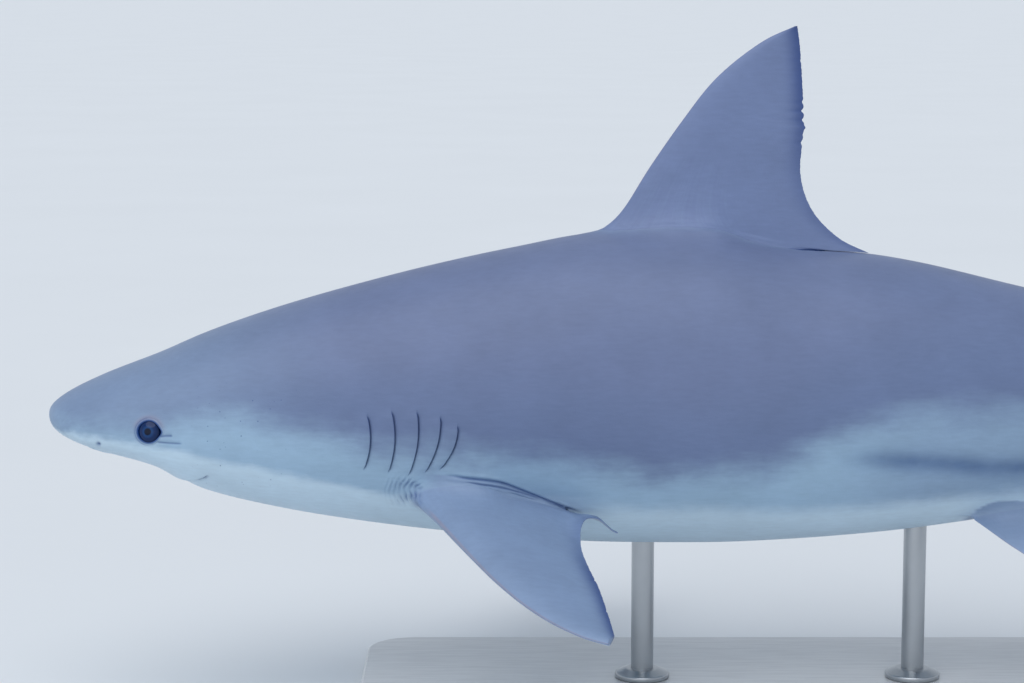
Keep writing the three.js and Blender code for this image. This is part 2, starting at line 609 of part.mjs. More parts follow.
// A rod stands on the base and ends against the belly.
function standRod(along) {
  const foot = STAND_BASE.thickness + SEAM - axisHeight;
  const length = -foot;
  const rod = new THREE.CylinderGeometry(STAND_ROD.radius, STAND_ROD.radius, length, 20);
  rod.rotateX(Math.PI / 2).translate(along, 0, foot + length / 2);
  return geometryOf(solidOf(rod).subtract(bodyCutter));
}

function standCollar() {
  const { radius, height, lip } = STAND_COLLAR;
  const bore = STAND_ROD.radius + SEAM;
  const profile = [[bore, 0], [radius, 0], [radius, height - lip], [radius - lip, height], [bore, height],
    [bore, 0]].map(([r, h]) => new THREE.Vector2(r, h));
  return new THREE.LatheGeometry(profile, 16).rotateX(Math.PI / 2);
}

const stand = new THREE.Group();
const rodStations = { front: station(STAND_ROD.front), rear: station(STAND_ROD.rear) };
const base = piece('stand_base', standBase(), finish.base);
base.position.set((rodStations.front + rodStations.rear) / 2, 0, -axisHeight);
stand.add(base);
for (const [name, along] of Object.entries(rodStations)) {
  stand.add(piece(`stand_rod_${name}`, standRod(along), finish.steel));
  const collar = piece(`stand_collar_${name}`, standCollar(), finish.steel);
  collar.position.set(along, 0, STAND_BASE.thickness + SEAM - axisHeight);
  stand.add(collar);
}

// The whole stands on the floor, centred on its own outline.
const model = new THREE.Group();
model.add(shark, stand);
model.updateMatrixWorld(true);
const outline = new THREE.Box3().setFromObject(model, true);
const middle = outline.getCenter(new THREE.Vector3());
model.position.set(-middle.x, -middle.y, axisHeight);

const part = new THREE.Group();
part.add(model);

export default part;
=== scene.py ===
"""Dresses the solid model of a bull shark: one seamless skin, eyes, and the stand that carries it.

The skin is made from the same named sizes as the solids. The animal is laid out straight first: `along` is
the distance behind the snout tip, `across` the distance to its right and `up` the height above its axis.
Everything is joined, detailed and given its markings there, and only then bent to its swimming pose.
"""

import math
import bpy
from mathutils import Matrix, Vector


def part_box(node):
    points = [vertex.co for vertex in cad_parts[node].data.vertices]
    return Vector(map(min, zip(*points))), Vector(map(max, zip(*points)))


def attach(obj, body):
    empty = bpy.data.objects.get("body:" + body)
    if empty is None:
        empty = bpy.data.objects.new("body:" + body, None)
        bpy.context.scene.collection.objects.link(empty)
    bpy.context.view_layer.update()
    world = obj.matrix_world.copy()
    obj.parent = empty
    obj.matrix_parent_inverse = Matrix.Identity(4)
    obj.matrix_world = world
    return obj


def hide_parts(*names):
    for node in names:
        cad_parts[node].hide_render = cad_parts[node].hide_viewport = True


bl_info = {
    "name": "Bull Shark Display Model",
    "version": (1, 0, 0),
    "blender": (4, 5, 0),
    "location": "3D View > Sidebar > Shark",
    "description": "Builds the skin, eyes, stand and stage of a life-size bull shark",
    "category": "Object",
}

import bmesh
import bpy
import numpy as np
from bpy.props import FloatProperty, FloatVectorProperty, IntProperty, PointerProperty
from mathutils import Vector
from mathutils.bvhtree import BVHTree
from mathutils.kdtree import KDTree

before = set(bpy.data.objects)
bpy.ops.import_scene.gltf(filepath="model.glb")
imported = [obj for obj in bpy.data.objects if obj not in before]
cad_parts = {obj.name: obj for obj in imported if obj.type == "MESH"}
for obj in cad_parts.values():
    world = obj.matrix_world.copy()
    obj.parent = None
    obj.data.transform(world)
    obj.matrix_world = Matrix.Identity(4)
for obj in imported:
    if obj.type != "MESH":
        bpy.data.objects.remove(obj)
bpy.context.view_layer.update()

MM = 0.001
SIDES = (("left", -1), ("right", 1))

# ---------------------------------------------------------------- sizes, in per cent of the total length

# Behind the snout tip; height of the back and of the belly; height of the widest line and half the width
# there; fullness of the section above and below that line, where 2 is an ellipse and more is squarer.
PROFILE_COLUMNS = ("at", "back", "belly", "widest", "half", "above", "below")
PROFILE = (
    (0.00, -0.57, -0.57, -0.57, 0.00, 2.0, 2.2),
    (0.45, 0.10, -1.46, -0.85, 1.85, 2.0, 2.3),
    (2.60, 1.34, -2.34, -1.45, 3.75, 2.0, 2.5),
    (5.80, 2.59, -3.22, -1.50, 4.75, 2.0, 2.6),
    (8.00, 3.56, -4.42, -1.65, 5.25, 2.0, 2.4),
    (12.3, 5.08, -5.58, -1.55, 5.80, 2.0, 2.3),
    (16.6, 6.32, -6.35, -1.20, 6.20, 2.0, 2.2),
    (21.0, 7.43, -6.90, -0.85, 6.50, 2.0, 2.2),
    (25.1, 8.30, -7.28, -0.50, 6.70, 2.0, 2.2),
    (29.4, 9.02, -7.52, -0.25, 6.85, 2.0, 2.2),
    (34.8, 8.98, -7.60, 0.00, 6.90, 2.0, 2.1),
    (39.7, 8.16, -7.40, 0.00, 6.72, 2.0, 2.1),
    (43.0, 7.97, -7.15, 0.00, 6.50, 2.0, 2.1),
    (45.5, 7.60, -6.90, 0.00, 6.30, 2.0, 2.1),
    (52.1, 6.04, -5.95, -0.10, 5.45, 2.0, 2.0),
    (58.0, 4.70, -4.87, -0.20, 4.30, 2.0, 2.0),
    (64.0, 3.28, -3.74, -0.35, 3.00, 2.0, 2.0),
    (69.5, 2.17, -2.87, -0.43, 2.15, 2.0, 2.0),
    (73.6, 1.62, -2.35, -0.45, 1.70, 2.0, 2.0),
    (74.5, 1.46, -2.25, -0.43, 1.60, 2.0, 2.0),
    (76.5, 2.05, -1.50, 0.20, 1.35, 2.0, 2.0),
    (80.4, 3.90, 1.00, 2.55, 0.95, 2.0, 2.0),
    (86.0, 6.65, 4.75, 5.85, 0.60, 2.0, 2.0),
    (92.0, 9.60, 8.55, 9.15, 0.34, 2.0, 2.0),
    (97.3, 12.10, 11.72, 11.92, 0.13, 2.0, 2.0),
)
TAIL_TIP = 97.3
SNOUT = {"reach": 2.6, "forward": 3.4 * MM}     # how far back the snout is drawn forward, and by how much
PROFILE_SAMPLES = 2400
PROFILE_SOFTNESS = 0.08            # how far the profile is evened out, in roots of per cent

SWEEP = {"from": 47.5, "degrees": 13, "waves": 0.64, "steps": 400}

# Lengths of body between two stations and the spacing of the rings over them.
RING_SPACING = ((2.6, 16.0, 0.085), (23.0, 44.0, 0.24), (44.0, 74.0, 0.23), (74.0, TAIL_TIP, 0.20))
NOSE_RINGS = 88
NOSE_FIRST = 0.012                 # the first ring's station, as a root of per cent
RING_LEAST = 0.02                  # how far gill rings end short of the middle between slits, in per cent
RING_MOST = 0.3                    # a wider gap between rings is filled

MOUTH = {"front": 5.95, "corner": 8.9, "half": 5.0}
NOSTRIL = {"along": 2.9, "across": 2.75, "length": 1.15, "width": 0.34, "turn": 58, "end": (3.02, -1.70)}
EYE = {"along": 5.76, "up": -0.90, "radius": 0.66, "depth": 0.40, "stands": 0.13}

# Top and bottom of each gill slit, as distance behind the snout tip and height.
GILLS = (
    ((17.16, 0.18), (16.96, -2.62)),
    ((18.42, 0.41), (18.22, -2.75)),
    ((19.72, 0.41), (19.26, -2.91)),
    ((20.92, 0.15), (20.12, -2.73)),
    ((21.81, -0.33), (20.90, -2.55)),
)
GILL_BOW = 0.22
GILL_EDGES = (0.0, 0.3, 0.8, 1.4, 2.0, 2.7, 3.6, 4.8, 6.5, 9.0)   # ring offsets from a slit, mm
GILL_WARP = ((16.0, 17.2), (21.4, 23.2))  # where the rings start and stop following the slits

# Sections through a gill slit, the mouth and the eye's rim: distance from the line, and how far the skin is
# lifted there, both in millimetres. Behind and inside are positive for the slit and the mouth. A shade pair
# gives distances and how dark the skin is painted there: painted shade in the slit, the mouth's groove, the
# eye's socket and the crease round the lid.
GILL_SECTION = np.array((
    (-26, 0.0), (-16, 0.4), (-8, 1.1), (-3, 1.4), (-0.2, 1.2), (0.3, 0.4), (0.8, -2.6), (1.4, -3.2),
    (2.0, -2.4), (2.7, -1.8), (3.6, -1.3), (4.8, -0.9), (6.5, -0.5), (9, -0.25), (14, 0.0),
))
GILL_PAINTED_SHADE = (-0.1, 0.25, 0.9, 1.4, 2.8, 7), (0, 1, 0.9, 0.30, 0.10, 0)
MOUTH_SECTION = np.array((
    (-22, 0.0), (-9, 0.9), (-3, 1.3), (-0.6, 0.8), (0.3, -2.6), (1.1, -4.6), (2.0, -4.4), (3.2, -3.0),
    (6, -2.0), (12, -1.3), (24, -0.4), (34, 0.0),
))
MOUTH_PAINTED_SHADE = (-0.6, 0.2, 1.8, 3.5), (0, 1, 1, 0)
EYE_SECTION = np.array((
    (0, -6.5), (12.0, -6.5), (12.8, -2.2), (13.5, 0.1), (14.3, 0.6), (15.4, 0.65), (16.5, 0.35),
    (17.2, -0.15), (18.0, 0.10), (20, 0.35), (24, 0.2), (30, 0),
))
EYE_PAINTED_SHADE = (11.8, 13.6, 14.8, 15.8, 16.5), (1, 1, 0.80, 0.40, 0)
LID_PAINTED_SHADE = (15.6, 16.5, 17.3, 18.2, 20.5), (0, 0.18, 0.62, 0.16, 0)

# Folds seen from the side: points as station and height in per cent, depth and width in millimetres, and how
# dark the painted shade in and round the fold is.
FOLDS = (
    (((6.24, -1.14), (6.68, -1.08), (7.08, -1.06)), 0.8, 1.7, 0.62),
    (((6.05, -1.40), (6.85, -1.44), (7.60, -1.45)), 0.7, 1.6, 0.55),
    (((20.9, -2.86), (21.6, -2.91), (22.16, -2.99), (23.2, -3.1), (24.11, -3.31), (25.0, -3.68),
      (25.97, -4.1), (26.7, -4.43), (27.8, -4.88), (28.5, -5.14)), 2.2, 1.7, 0.72),
    (((22.0, -3.16), (23.0, -3.32), (23.7, -3.45), (24.7, -3.74), (25.6, -4.04), (26.3, -4.31)),
     1.2, 1.2, 0.55),
    (((40.5, -2.05), (43.0, -2.15), (46.7, -2.40), (50.4, -2.80), (55.0, -2.90), (60.0, -2.30)), 2.2, 12, 0),
)

# Lines that the grey of a paired fin climbs to past its root: points, where it starts and ends, how far below
# the line it reaches and over what length it comes in, in per cent.
SHOULDERS = (
    (FOLDS[2][0], 19.6, 27.6, 1.7, 1.4),
    (((48.5, -6.00), (48.7, -5.75), (48.9, -5.40), (49.1, -5.18), (49.45, -4.92), (49.9, -4.76),
      (50.8, -4.74), (51.8, -4.88), (55.0, -4.95)), 48.4, 54.6, 1.4, 0.4),
)

# The creased skin in front of a pectoral fin: the point that its arcs run round, where they lie between in
# per cent, their spacing and depth in millimetres.
WRINKLES = {"centre": (20.3, -3.95), "from": 0.25, "to": 2.7, "spacing": 5.8, "depth": 1.0}

# Heights along the body of the edge of the grey, of the edge of the white and of a dark band on the flank.
GREY_EDGE = (
    (0, -0.50), (2.55, -0.85), (5.2, -0.70), (7.8, -0.05), (10.6, 0.15), (13.6, -0.55), (17.6, -1.35),
    (21.5, -1.50), (25.0, -1.60), (29.1, -2.23), (33.2, -2.67), (37.3, -2.46), (39.4, -1.51), (41.4, -0.37),
    (45.0, 0.52), (48.1, 0.67), (50.8, 0.66), (56.0, 0.45), (62.0, 0.15), (68.0, -0.20), (74.0, -0.60),
    (76.5, -0.10), (80.4, 1.90), (86.0, 5.20), (92.0, 8.70), (97.3, 11.80),
)
WHITE_EDGE = (
    (0, -1.00), (2.35, -1.28), (5.2, -1.55), (7.45, -1.82), (9.3, -2.28), (11.6, -2.58), (13.7, -3.05),
    (17.5, -3.79), (25.0, -4.28), (29.2, -4.55), (34.4, -4.70), (39.6, -4.81), (44.8, -4.56), (48.5, -4.26),
    (51.2, -4.15), (56.0, -3.70), (62.0, -2.95), (68.0, -2.35), (74.0, -1.95), (78.0, -0.60), (86.0, 4.40),
    (97.3, 11.4),
)
FLANK_BAND = (
    (40.0, -2.00), (43.0, -2.15), (46.7, -2.40), (50.4, -2.80), (55.0, -2.80), (60.0, -2.20), (66.0, -1.70),
)

BELLY_HEIGHT = 0.200               # the belly's lowest point over the ground, in metres
BELLY_DEPTH = 7.6                  # how far that point lies below the axis, in per cent
NOSE_START = -3.1 * MM             # where the solids' first ring lies, past the start of the axis
FLESH_NODES = (
    "head", "lower_jaw", "gill_region", "trunk_front", "trunk_rear", "tail_stock", "caudal_fin_upper_lobe",
    "caudal_fin_lower_lobe", "first_dorsal_fin", "second_dorsal_fin", "anal_fin", "pectoral_fin_left",
    "pectoral_fin_right", "pelvic_fin_left", "pelvic_fin_right",
)

# The camera looks along +Y, slightly down; lengths are in metres and the angle in degrees.
CAMERA = {
    "distance": 3.2, "elevation": 8, "lens": 91.5, "behind_snout": 0.5664, "above_axis": 0.073,
    "sees": (0.05, 2000),
}
FLOOR_REACH = 400.0

# The stand's eased edges and the gap round a rod, in metres.
BASE = {"corner": 0.060, "bevel": 0.004}
STEEL_EASE = {"rod": 0.0008, "collar": 0.0025}
HAIRLINE = 0.0004

EYE_STEPS = (65, 96)               # rows from the front to the back of an eye, and points in each ring
TURNED_STEPS = 96                  # points in each ring of a rod or a collar

# Each soft light: its name, the way it shines, how wide it is in degrees, and its strength.
LIGHTS = (
    ("overhead_light", (0.25, 0.45, -1.0), 60, 1.35),
    ("front_light", (0.35, 1.0, -0.35), 70, 0.35),
)


def smooth(x):
    """Eases from 0 to 1."""
    t = np.clip(x, 0.0, 1.0)
    return t * t * (3 - 2 * t)


def bell(x, width):
    """1 where x is 0, and fading out on both sides over the width."""
    return np.exp(-((x / width) ** 2))


def monotone(xs, ys, x):
    """Smooth curve through the points (xs, ys) that never overshoots them, read at x."""
    h = np.diff(xs)
    slope = np.diff(ys) / h
    tangent = np.concatenate([slope[:1], np.zeros(len(xs) - 2), slope[-1:]])
    before, after = slope[:-1], slope[1:]
    w0, w1 = 2 * h[1:] + h[:-1], h[1:] + 2 * h[:-1]
    same = before * after > 0
    tangent[1:-1][same] = ((w0 + w1)[same]) / (w0[same] / before[same] + w1[same] / after[same])
    i = np.clip(np.searchsorted(xs, x, side="right") - 1, 0, len(xs) - 2)
    t = np.clip((x - xs[i]) / h[i], 0, 1)
    return (
        (2 * t**3 - 3 * t**2 + 1) * ys[i]
        + (t**3 - 2 * t**2 + t) * h[i] * tangent[i]
        + (3 * t**2 - 2 * t**3) * ys[i + 1]
        + (t**3 - t**2) * h[i] * tangent[i + 1]
    )


def softened(curve, samples):
    """The curve evened out by a bell of that many samples, with both ends kept in place."""
    reach = int(samples * 3)
    bell = np.exp(-0.5 * (np.arange(-reach, reach + 1) / samples) ** 2)
    start = 2 * curve[0] - curve[reach:0:-1]
    end = 2 * curve[-1] - curve[-2 : -reach - 2 : -1]
    return np.convolve(np.concatenate([start, curve, end]), bell / bell.sum(), mode="valid")


def catmull(points, t):
    """Smooth curve through the points, evenly shared out between them, read at t from 0 to 1."""
    points = np.asarray(points, float)
    place = np.clip(t, 0, 1) * (len(points) - 1)
    i = np.minimum(place.astype(int), len(points) - 2)
    w = (place - i)[:, None]
    p0 = points[np.maximum(i - 1, 0)]
    p1, p2 = points[i], points[i + 1]
    p3 = points[np.minimum(i + 2, len(points) - 1)]
    v0, v1 = (p2 - p0) / 2, (p3 - p1) / 2
    return (
        (2 * p1 - 2 * p2 + v0 + v1) * w**3 + (-3 * p1 + 3 * p2 - 2 * v0 - v1) * w**2 + v0 * w + p1
    )


def line_distance(points, line):
    """Distance from each point to a line of points, and how far along it the nearest place is, 0 to 1."""
    line = np.asarray(line, float)
    lengths = np.linalg.norm(np.diff(line, axis=0), axis=1)
    starts = np.concatenate([[0], np.cumsum(lengths)])
    best = np.full(len(points), np.inf)
    place = np.zeros(len(points))
    for a, b, start, length in zip(line[:-1], line[1:], starts, lengths):
        t = np.clip((points - a) @ (b - a) / length**2, 0, 1)
        distance = np.linalg.norm(points - a - t[:, None] * (b - a), axis=1)
        nearer = distance < best
        best[nearer] = distance[nearer]
        place[nearer] = (start + t * length)[nearer] / starts[-1]
    return best, place


class Body:
    """The straight body, in metres: round sections along the axis."""

    def __init__(self, total_length):
        self.length = total_length
        self.percent = total_length / 100
        rows = np.array(PROFILE)
        self.root = np.linspace(0, math.sqrt(TAIL_TIP), PROFILE_SAMPLES)
        blur = PROFILE_SOFTNESS / (self.root[1] - self.root[0])
        self.curves = {
            name: softened(monotone(np.sqrt(rows[:, 0]), rows[:, i], self.root), blur)
            for i, name in enumerate(PROFILE_COLUMNS)
            if i
        }
        self.sweep = self.swept_axis()

    def read(self, name, along):
        """One of the profile's columns at a station."""
        scale = 1 if name in ("above", "below") else self.percent
        root = np.sqrt(np.maximum(np.asarray(along) / self.percent, 0))
        return np.interp(root, self.root, self.curves[name]) * scale

    def skin(self, along, turn):
        """Points of the skin: turn 0 is the right side, a quarter turn is the back."""
        c, s = np.cos(turn), np.sin(turn)
        widest = self.read("widest", along)
        upper = s >= 0
        power = 2 / np.where(upper, self.read("above", along), self.read("below", along))
        reach = np.where(upper, self.read("back", along) - widest, widest - self.read("belly", along))
        across = np.sign(c) * np.abs(c) ** power * self.read("half", along)
        up = widest + np.sign(s) * np.abs(s) ** power * reach
        drawn = SNOUT["forward"] * (1 - smooth(along / (SNOUT["reach"] * self.percent)))
        return np.stack([along - drawn + 0 * turn, across, up], axis=-1)

    def side_at(self, along, up):
        """Half the body's width at a height."""
        widest = self.read("widest", along)
        upper = up >= widest
        power = np.where(upper, self.read("above", along), self.read("below", along))
        reach = np.where(upper, self.read("back", along) - widest, widest - self.read("belly", along))
        share = np.clip(np.abs(up - widest) / np.maximum(reach, 1e-9), 0, 1)
        return self.read("half", along) * (1 - share**power) ** (1 / power)

    def under_at(self, along, across):
        """Height of the underside at a distance from the middle."""
        widest, power = self.read("widest", along), self.read("below", along)
        share = np.clip(np.abs(across) / self.read("half", along), 0, 1)
        return widest - (widest - self.read("belly", along)) * (1 - share**power) ** (1 / power)

    def outward(self, along, up, side):
        """The skin's outward direction at a point of the flank."""
        reach = 0.3 * self.percent
        at = lambda x, z: np.array([x, side * self.side_at(x, z), z])
        forward = at(along + reach, up) - at(along - reach, up)
        upward = at(along, up + reach) - at(along, up - reach)
        normal = np.cross(forward, upward) * -side
        return normal / np.linalg.norm(normal)

    def swept_axis(self):
        """Points of the bent axis and its heading there, at even steps."""
        step = self.length / SWEEP["steps"]
        rows = [(0.0, 0.0, 0.0)]
        for i in range(SWEEP["steps"]):
            share = (i * step / self.percent - SWEEP["from"]) / (TAIL_TIP - SWEEP["from"])
            turn = 2 * math.pi * SWEEP["waves"] * min(max(share, 0), 1)
            heading = math.radians(SWEEP["degrees"]) * math.sin(turn)
            x, y, _ = rows[-1]
            rows.append((x + math.cos(heading) * step, y + math.sin(heading) * step, heading))
        return np.array(rows)

    def bend(self, points):
        """The straight points in the swimming pose."""
        step = self.length / SWEEP["steps"]
        stations = np.arange(len(self.sweep)) * step
        along = np.maximum(points[:, 0], 0)
        x, y, heading = (np.interp(along, stations, column) for column in self.sweep.T)
        return np.stack(
            [
                x + np.minimum(points[:, 0], 0) - points[:, 1] * np.sin(heading),
                y + points[:, 1] * np.cos(heading),
                points[:, 2],
            ],
            axis=-1,
        )

    # Where a point of a fin lies: its station, its distance out and its shift sideways.

    def on_back(self, along, out, shift):
        return np.stack([along, shift, self.read("back", along) + out], axis=-1)

    def on_belly(self, along, out, shift):
        return np.stack([along, shift, self.read("belly", along) - out], axis=-1)

    def in_plane(self, along, up, shift):
        return np.stack([along, shift, up], axis=-1)

    def paired(self, seat, side):
        """A paired fin's plane droops and is pitched nose-up; its rear lobe lies flatter and curls down."""
        fall, tilt, flatter = (math.radians(seat[key]) for key in ("droop", "pitch", "flatter"))

        def place(along, out, shift):
            back, outward = along / self.percent, out / self.percent
            near = 1 - smooth(outward / seat["lobe_span"])
            raised = smooth((back - seat["lobe_from"]) / (seat["lobe_to"] - seat["lobe_from"]))
            raised = raised * (seat["lift"] + np.maximum(outward, 0) * math.sin(flatter))
            curled = smooth((back - seat["curl_from"]) / (seat["tip"] - seat["curl_from"])) * seat["curl"]
            height = seat["up"] - outward * math.sin(fall) - (back - seat["at"]) * math.tan(tilt)
            return np.stack(
                [
                    along,
                    side * (seat["across"] * self.percent + out * math.cos(fall) - shift * math.sin(fall)),
                    (height + near * (raised - curled)) * self.percent + shift * math.cos(fall),
                ],
                axis=-1,
            )

        return place


# ---------------------------------------------------------------- fins, in per cent of the total length

# Each fin lists its chords inside the body, its leading and trailing edges from the body to the tip, half
# its thickness at root and tip, its span, how many rows and chord steps its mesh has, the reach of the
# fillet at its root in millimetres, and how pale its upper and lower faces are. A fillet fades between two
# distances from the root's rear end, given in fillets, by the last of the three numbers of "fade". "slit" is
# where the free rear tip lies against the body: from, to and width in millimetres. "thin" is how much thinner
# the fin grows between two stations, near its root.
FIRST_DORSAL = {
    "root": (((28.4, -1.1), (39.3, -1.1)), ((28.7, -0.35), (39.5, -0.10)), ((28.95, -0.22), (41.0, 0.0))),
    "leading": ((29.1, -0.12), (29.8, 0.42), (30.65, 1.42), (31.93, 3.50), (33.66, 6.02), (35.4, 8.30),
                (37.8, 10.62), (39.5, 11.70)),
    "trailing": ((43.6, 0.05), (42.0, 0.70), (40.55, 2.10), (39.90, 4.00), (40.05, 6.50), (39.93, 8.70),
                 (39.78, 10.60), (39.62, 11.72)),
    "thickness": (0.60, 0.10), "span": 12, "rows": 260, "chord": 44, "fillet": 84, "fade": (1.6, 0.9, 1.0),
    "slit": (39.1, 43.8, 1.5),
    "tone": (-0.16, -0.16),
    "nicks": ((0.522, 0.10), (0.548, 0.04), (0.568, -0.09), (0.592, 0.12), (0.622, 0.15), (0.652, 0.08),
              (0.80, 0.04)),
}
SECOND_DORSAL = {
    "root": (((61.0, -0.8), (66.0, -0.8)), ((61.3, -0.2), (66.2, -0.08))),
    "leading": ((61.6, -0.06), (62.2, 0.50), (63.2, 1.55), (64.4, 2.70), (65.5, 3.35)),
    "trailing": ((69.8, 0.14), (68.0, 0.62), (66.6, 1.50), (65.95, 2.55), (65.85, 3.38)),
    "thickness": (0.28, 0.07), "span": 3.4, "rows": 90, "chord": 28, "fillet": 32,
    "tone": (-0.12, -0.12), "nicks": ((0.45, 0.05),),
}
ANAL = {
    "root": (((62.3, -0.8), (67.2, -0.8)), ((62.6, -0.2), (67.5, -0.08))),
    "leading": ((62.9, -0.06), (63.6, 0.55), (64.7, 1.75), (65.9, 2.95), (67.0, 3.80)),
    "trailing": ((71.0, 0.16), (69.2, 0.55), (67.9, 1.25), (67.3, 2.40), (67.4, 3.78)),
    "thickness": (0.28, 0.07), "span": 3.8, "rows": 90, "chord": 28, "fillet": 32,
    "tone": (0.0, 0.0), "nicks": ((0.62, 0.05),),
}
PECTORAL = {
    "root": (((19.3, -1.8), (26.6, -1.8)), ((19.4, -0.35), (27.0, -0.30))),
    "leading": ((19.55, 0.10), (19.76, 0.60), (20.13, 1.30), (20.55, 2.10), (21.11, 3.30), (21.76, 4.75),
                (22.67, 6.75), (23.78, 9.05), (25.07, 11.25), (26.43, 12.95), (27.87, 14.10),
                (29.10, 14.55)),
    "trailing": ((30.10, 0.12), (29.50, 0.30), (28.95, 0.50), (28.50, 0.90), (28.22, 1.60), (28.10, 2.60),
                 (28.15, 4.30), (28.45, 6.30), (28.80, 8.10), (29.05, 10.00), (29.28, 12.10),
                 (29.42, 13.60)),
    "thickness": (1.00, 0.11), "span": 14.6, "rows": 220, "chord": 44, "fillet": 62, "fade": (1.6, 0.8, 1.0),
    "slit": (27.2, 30.3, 1.4), "thin": {"from": 26.9, "to": 28.5, "by": 0.72, "near": 1.8, "far": 4.0},
    "tone": (-0.075, 0.09), "nicks": ((0.70, 0.05), (0.86, 0.06)),
    "seat": {"at": 19.8, "across": 5.65, "up": -4.15, "droop": 11, "pitch": 8, "flatter": 22,
             "lobe_from": 27.2, "lobe_to": 28.6, "lift": 0.20, "lobe_span": 3.5, "curl_from": 28.9,
             "tip": 30.1, "curl": 0.65},
}
PELVIC = {
    "root": (((48.2, -1.2), (53.6, -1.2)), ((48.4, -0.3), (53.9, -0.2))),
    "leading": ((48.6, 0.10), (49.4, 1.15), (50.5, 2.65), (51.7, 4.05), (52.95, 4.95)),
    "trailing": ((56.4, 0.30), (55.2, 1.15), (54.2, 2.25), (53.65, 3.60), (53.45, 4.82)),
    "thickness": (0.36, 0.09), "span": 4.8, "rows": 110, "chord": 32, "fillet": 46,
    "tone": (-0.05, 0.08), "nicks": ((0.55, 0.05),),
    "seat": {"at": 48.6, "across": 2.95, "up": -5.55, "droop": 40, "pitch": -9, "flatter": 0,
             "lobe_from": 53.5, "lobe_to": 55.5, "lift": 0, "lobe_span": 2, "curl_from": 53.8,
             "tip": 56.6, "curl": 0.2},
}
CAUDAL_WEB = {
    "root": (((75.4, -1.3), (83.3, -1.95)),),
    "leading": ((76.2, -0.6), (79.2, 1.75), (82.6, 3.95), (86.0, 5.75), (88.8, 7.20), (91.1, 8.35),
                (94.1, 9.95), (97.0, 11.72)),
    "trailing": ((83.35, -1.75), (84.6, -0.75), (86.9, 1.25), (89.5, 3.75), (91.8, 5.75), (92.9, 6.25),
                 (94.6, 6.85), (97.42, 11.70)),
    "thickness": (0.20, 0.10), "span": 12, "rows": 200, "chord": 28, "fillet": 22,
    "tone": (-0.06, -0.06), "nicks": ((0.30, 0.06), (0.52, 0.05)),
}
CAUDAL_LOWER = {
    "root": (((75.0, 0.2), (83.2, -1.2)),),
    "leading": ((74.25, -1.5), (74.7, -3.1), (76.5, -5.2), (78.8, -7.6), (80.9, -9.75), (82.55, -11.3)),
    "trailing": ((83.25, -1.9), (82.55, -3.4), (82.2, -5.3), (82.35, -7.4), (82.75, -9.5), (83.05, -11.15)),
    "thickness": (0.26, 0.10), "span": 11, "rows": 150, "chord": 32, "fillet": 22,
    "tone": (-0.04, -0.04), "nicks": ((0.55, 0.06),),
}
FIN_EDGE = 0.7 * MM                # half the thickness at the rear edge
FIN_NOSE = 0.17                    # share of the chord over which that thickness comes in
ROOT_ROWS = 8                      # rows between the last chord inside the body and the first outside it
NICK_WIDTH = 0.006                 # as a share of the fin's height
RUFFLE = 0.012                     # how uneven a rear edge is, in per cent
EDGE_WIDTH = 0.62                  # how wide the dusky rear edge is, in per cent
FILLET_FADE = (1.3, 0.1, 0.8)      # "fade" of a fin that gives none
FILLET_ROUNDS = 4                  # times that a fillet is settled on its surfaces
SEAM_EASING = 40                   # times that the fins' share is evened out over their seams
SEAM_RELAXING = 24                 # times that a seam's points are evened out before the last settling
SEAM_FINISHING = 6                 # and after it
SEAM_BAND = (4 * MM, 6 * MM)       # evened out in full this near to the seam, and fading over this length
SEAM_SUNK = 10 * MM                # this near to the seam, the last settling may press points in too
SEAM_MERGING = 0.45 * MM           # points of a seam closer than this become one
SLIT_REACH = 12 * MM               # how far from the seam a fin's slit can be seen
SLIT_WIDENING = 1.2                # how much wider a slit grows at its end
TOUCHING = 2.5e-4                  # points this close to a surface take its own direction

# How far round each feature the skin is refined the first and the second time, in millimetres, and for a fold
# in its own widths. Folds that are wider than the limit need no refining.
REFINED = {"eye": (48, 38), "nostril": (34, 24), "fold": (5, 3)}
WIDE_FOLD = 5


def aerofoil(share):
    """Half the thickness of a four-digit aerofoil along its chord, 1 where it is fullest."""
    return 10 * (
        0.2969 * np.sqrt(share) - 0.126 * share - 0.3516 * share**2 + 0.2843 * share**3 - 0.1015 * share**4
    )


def mesh_from(name, points, faces):
    """A mesh over points and blocks of faces with equally many corners."""
    mesh = bpy.data.meshes.new(name)
    mesh.vertices.add(len(points))
    mesh.vertices.foreach_set("co", np.asarray(points, np.float32).ravel())
    starts = np.cumsum([0] + [len(block.ravel()) for block in faces])
    corners = np.concatenate([block.ravel() for block in faces])
    mesh.loops.add(len(corners))
    mesh.loops.foreach_set("vertex_index", corners.astype(np.int32))
    loop_starts = np.concatenate(
        [start + np.arange(len(block)) * block.shape[1] for start, block in zip(starts, faces)]
    )
    mesh.polygons.add(len(loop_starts))
    mesh.polygons.foreach_set("loop_start", loop_starts.astype(np.int32))
    mesh.update(calc_edges=True)
    mesh.validate()
    return mesh


def lofted(name, rings):
    """Closed mesh over rings of equal length, with a fan over each end."""
    count, size = rings.shape[:2]
    ends = np.stack([rings[0].mean(axis=0), rings[-1].mean(axis=0)])
    points = np.concatenate([rings.reshape(-1, 3), ends])
    i, j = np.meshgrid(np.arange(count - 1), np.arange(size), indexing="ij")
    a, b = i * size + j, i * size + (j + 1) % size
    quads = np.stack([a, b, b + size, a + size], axis=-1).reshape(-1, 4)
    j = np.arange(size)
    k = (j + 1) % size
    first, last = np.full(size, count * size), np.full(size, count * size + 1)
    offset = (count - 1) * size
    fans = np.concatenate([np.stack([first, k, j], -1), np.stack([last, offset + j, offset + k], -1)])
    return mesh_from(name, points, [quads, fans])


def facing_out(mesh):
    """Turns the faces outwards."""
    mesh_out = bmesh.new()
    mesh_out.from_mesh(mesh)
    bmesh.ops.recalc_face_normals(mesh_out, faces=mesh_out.faces)
    mesh_out.to_mesh(mesh)
    mesh_out.free()


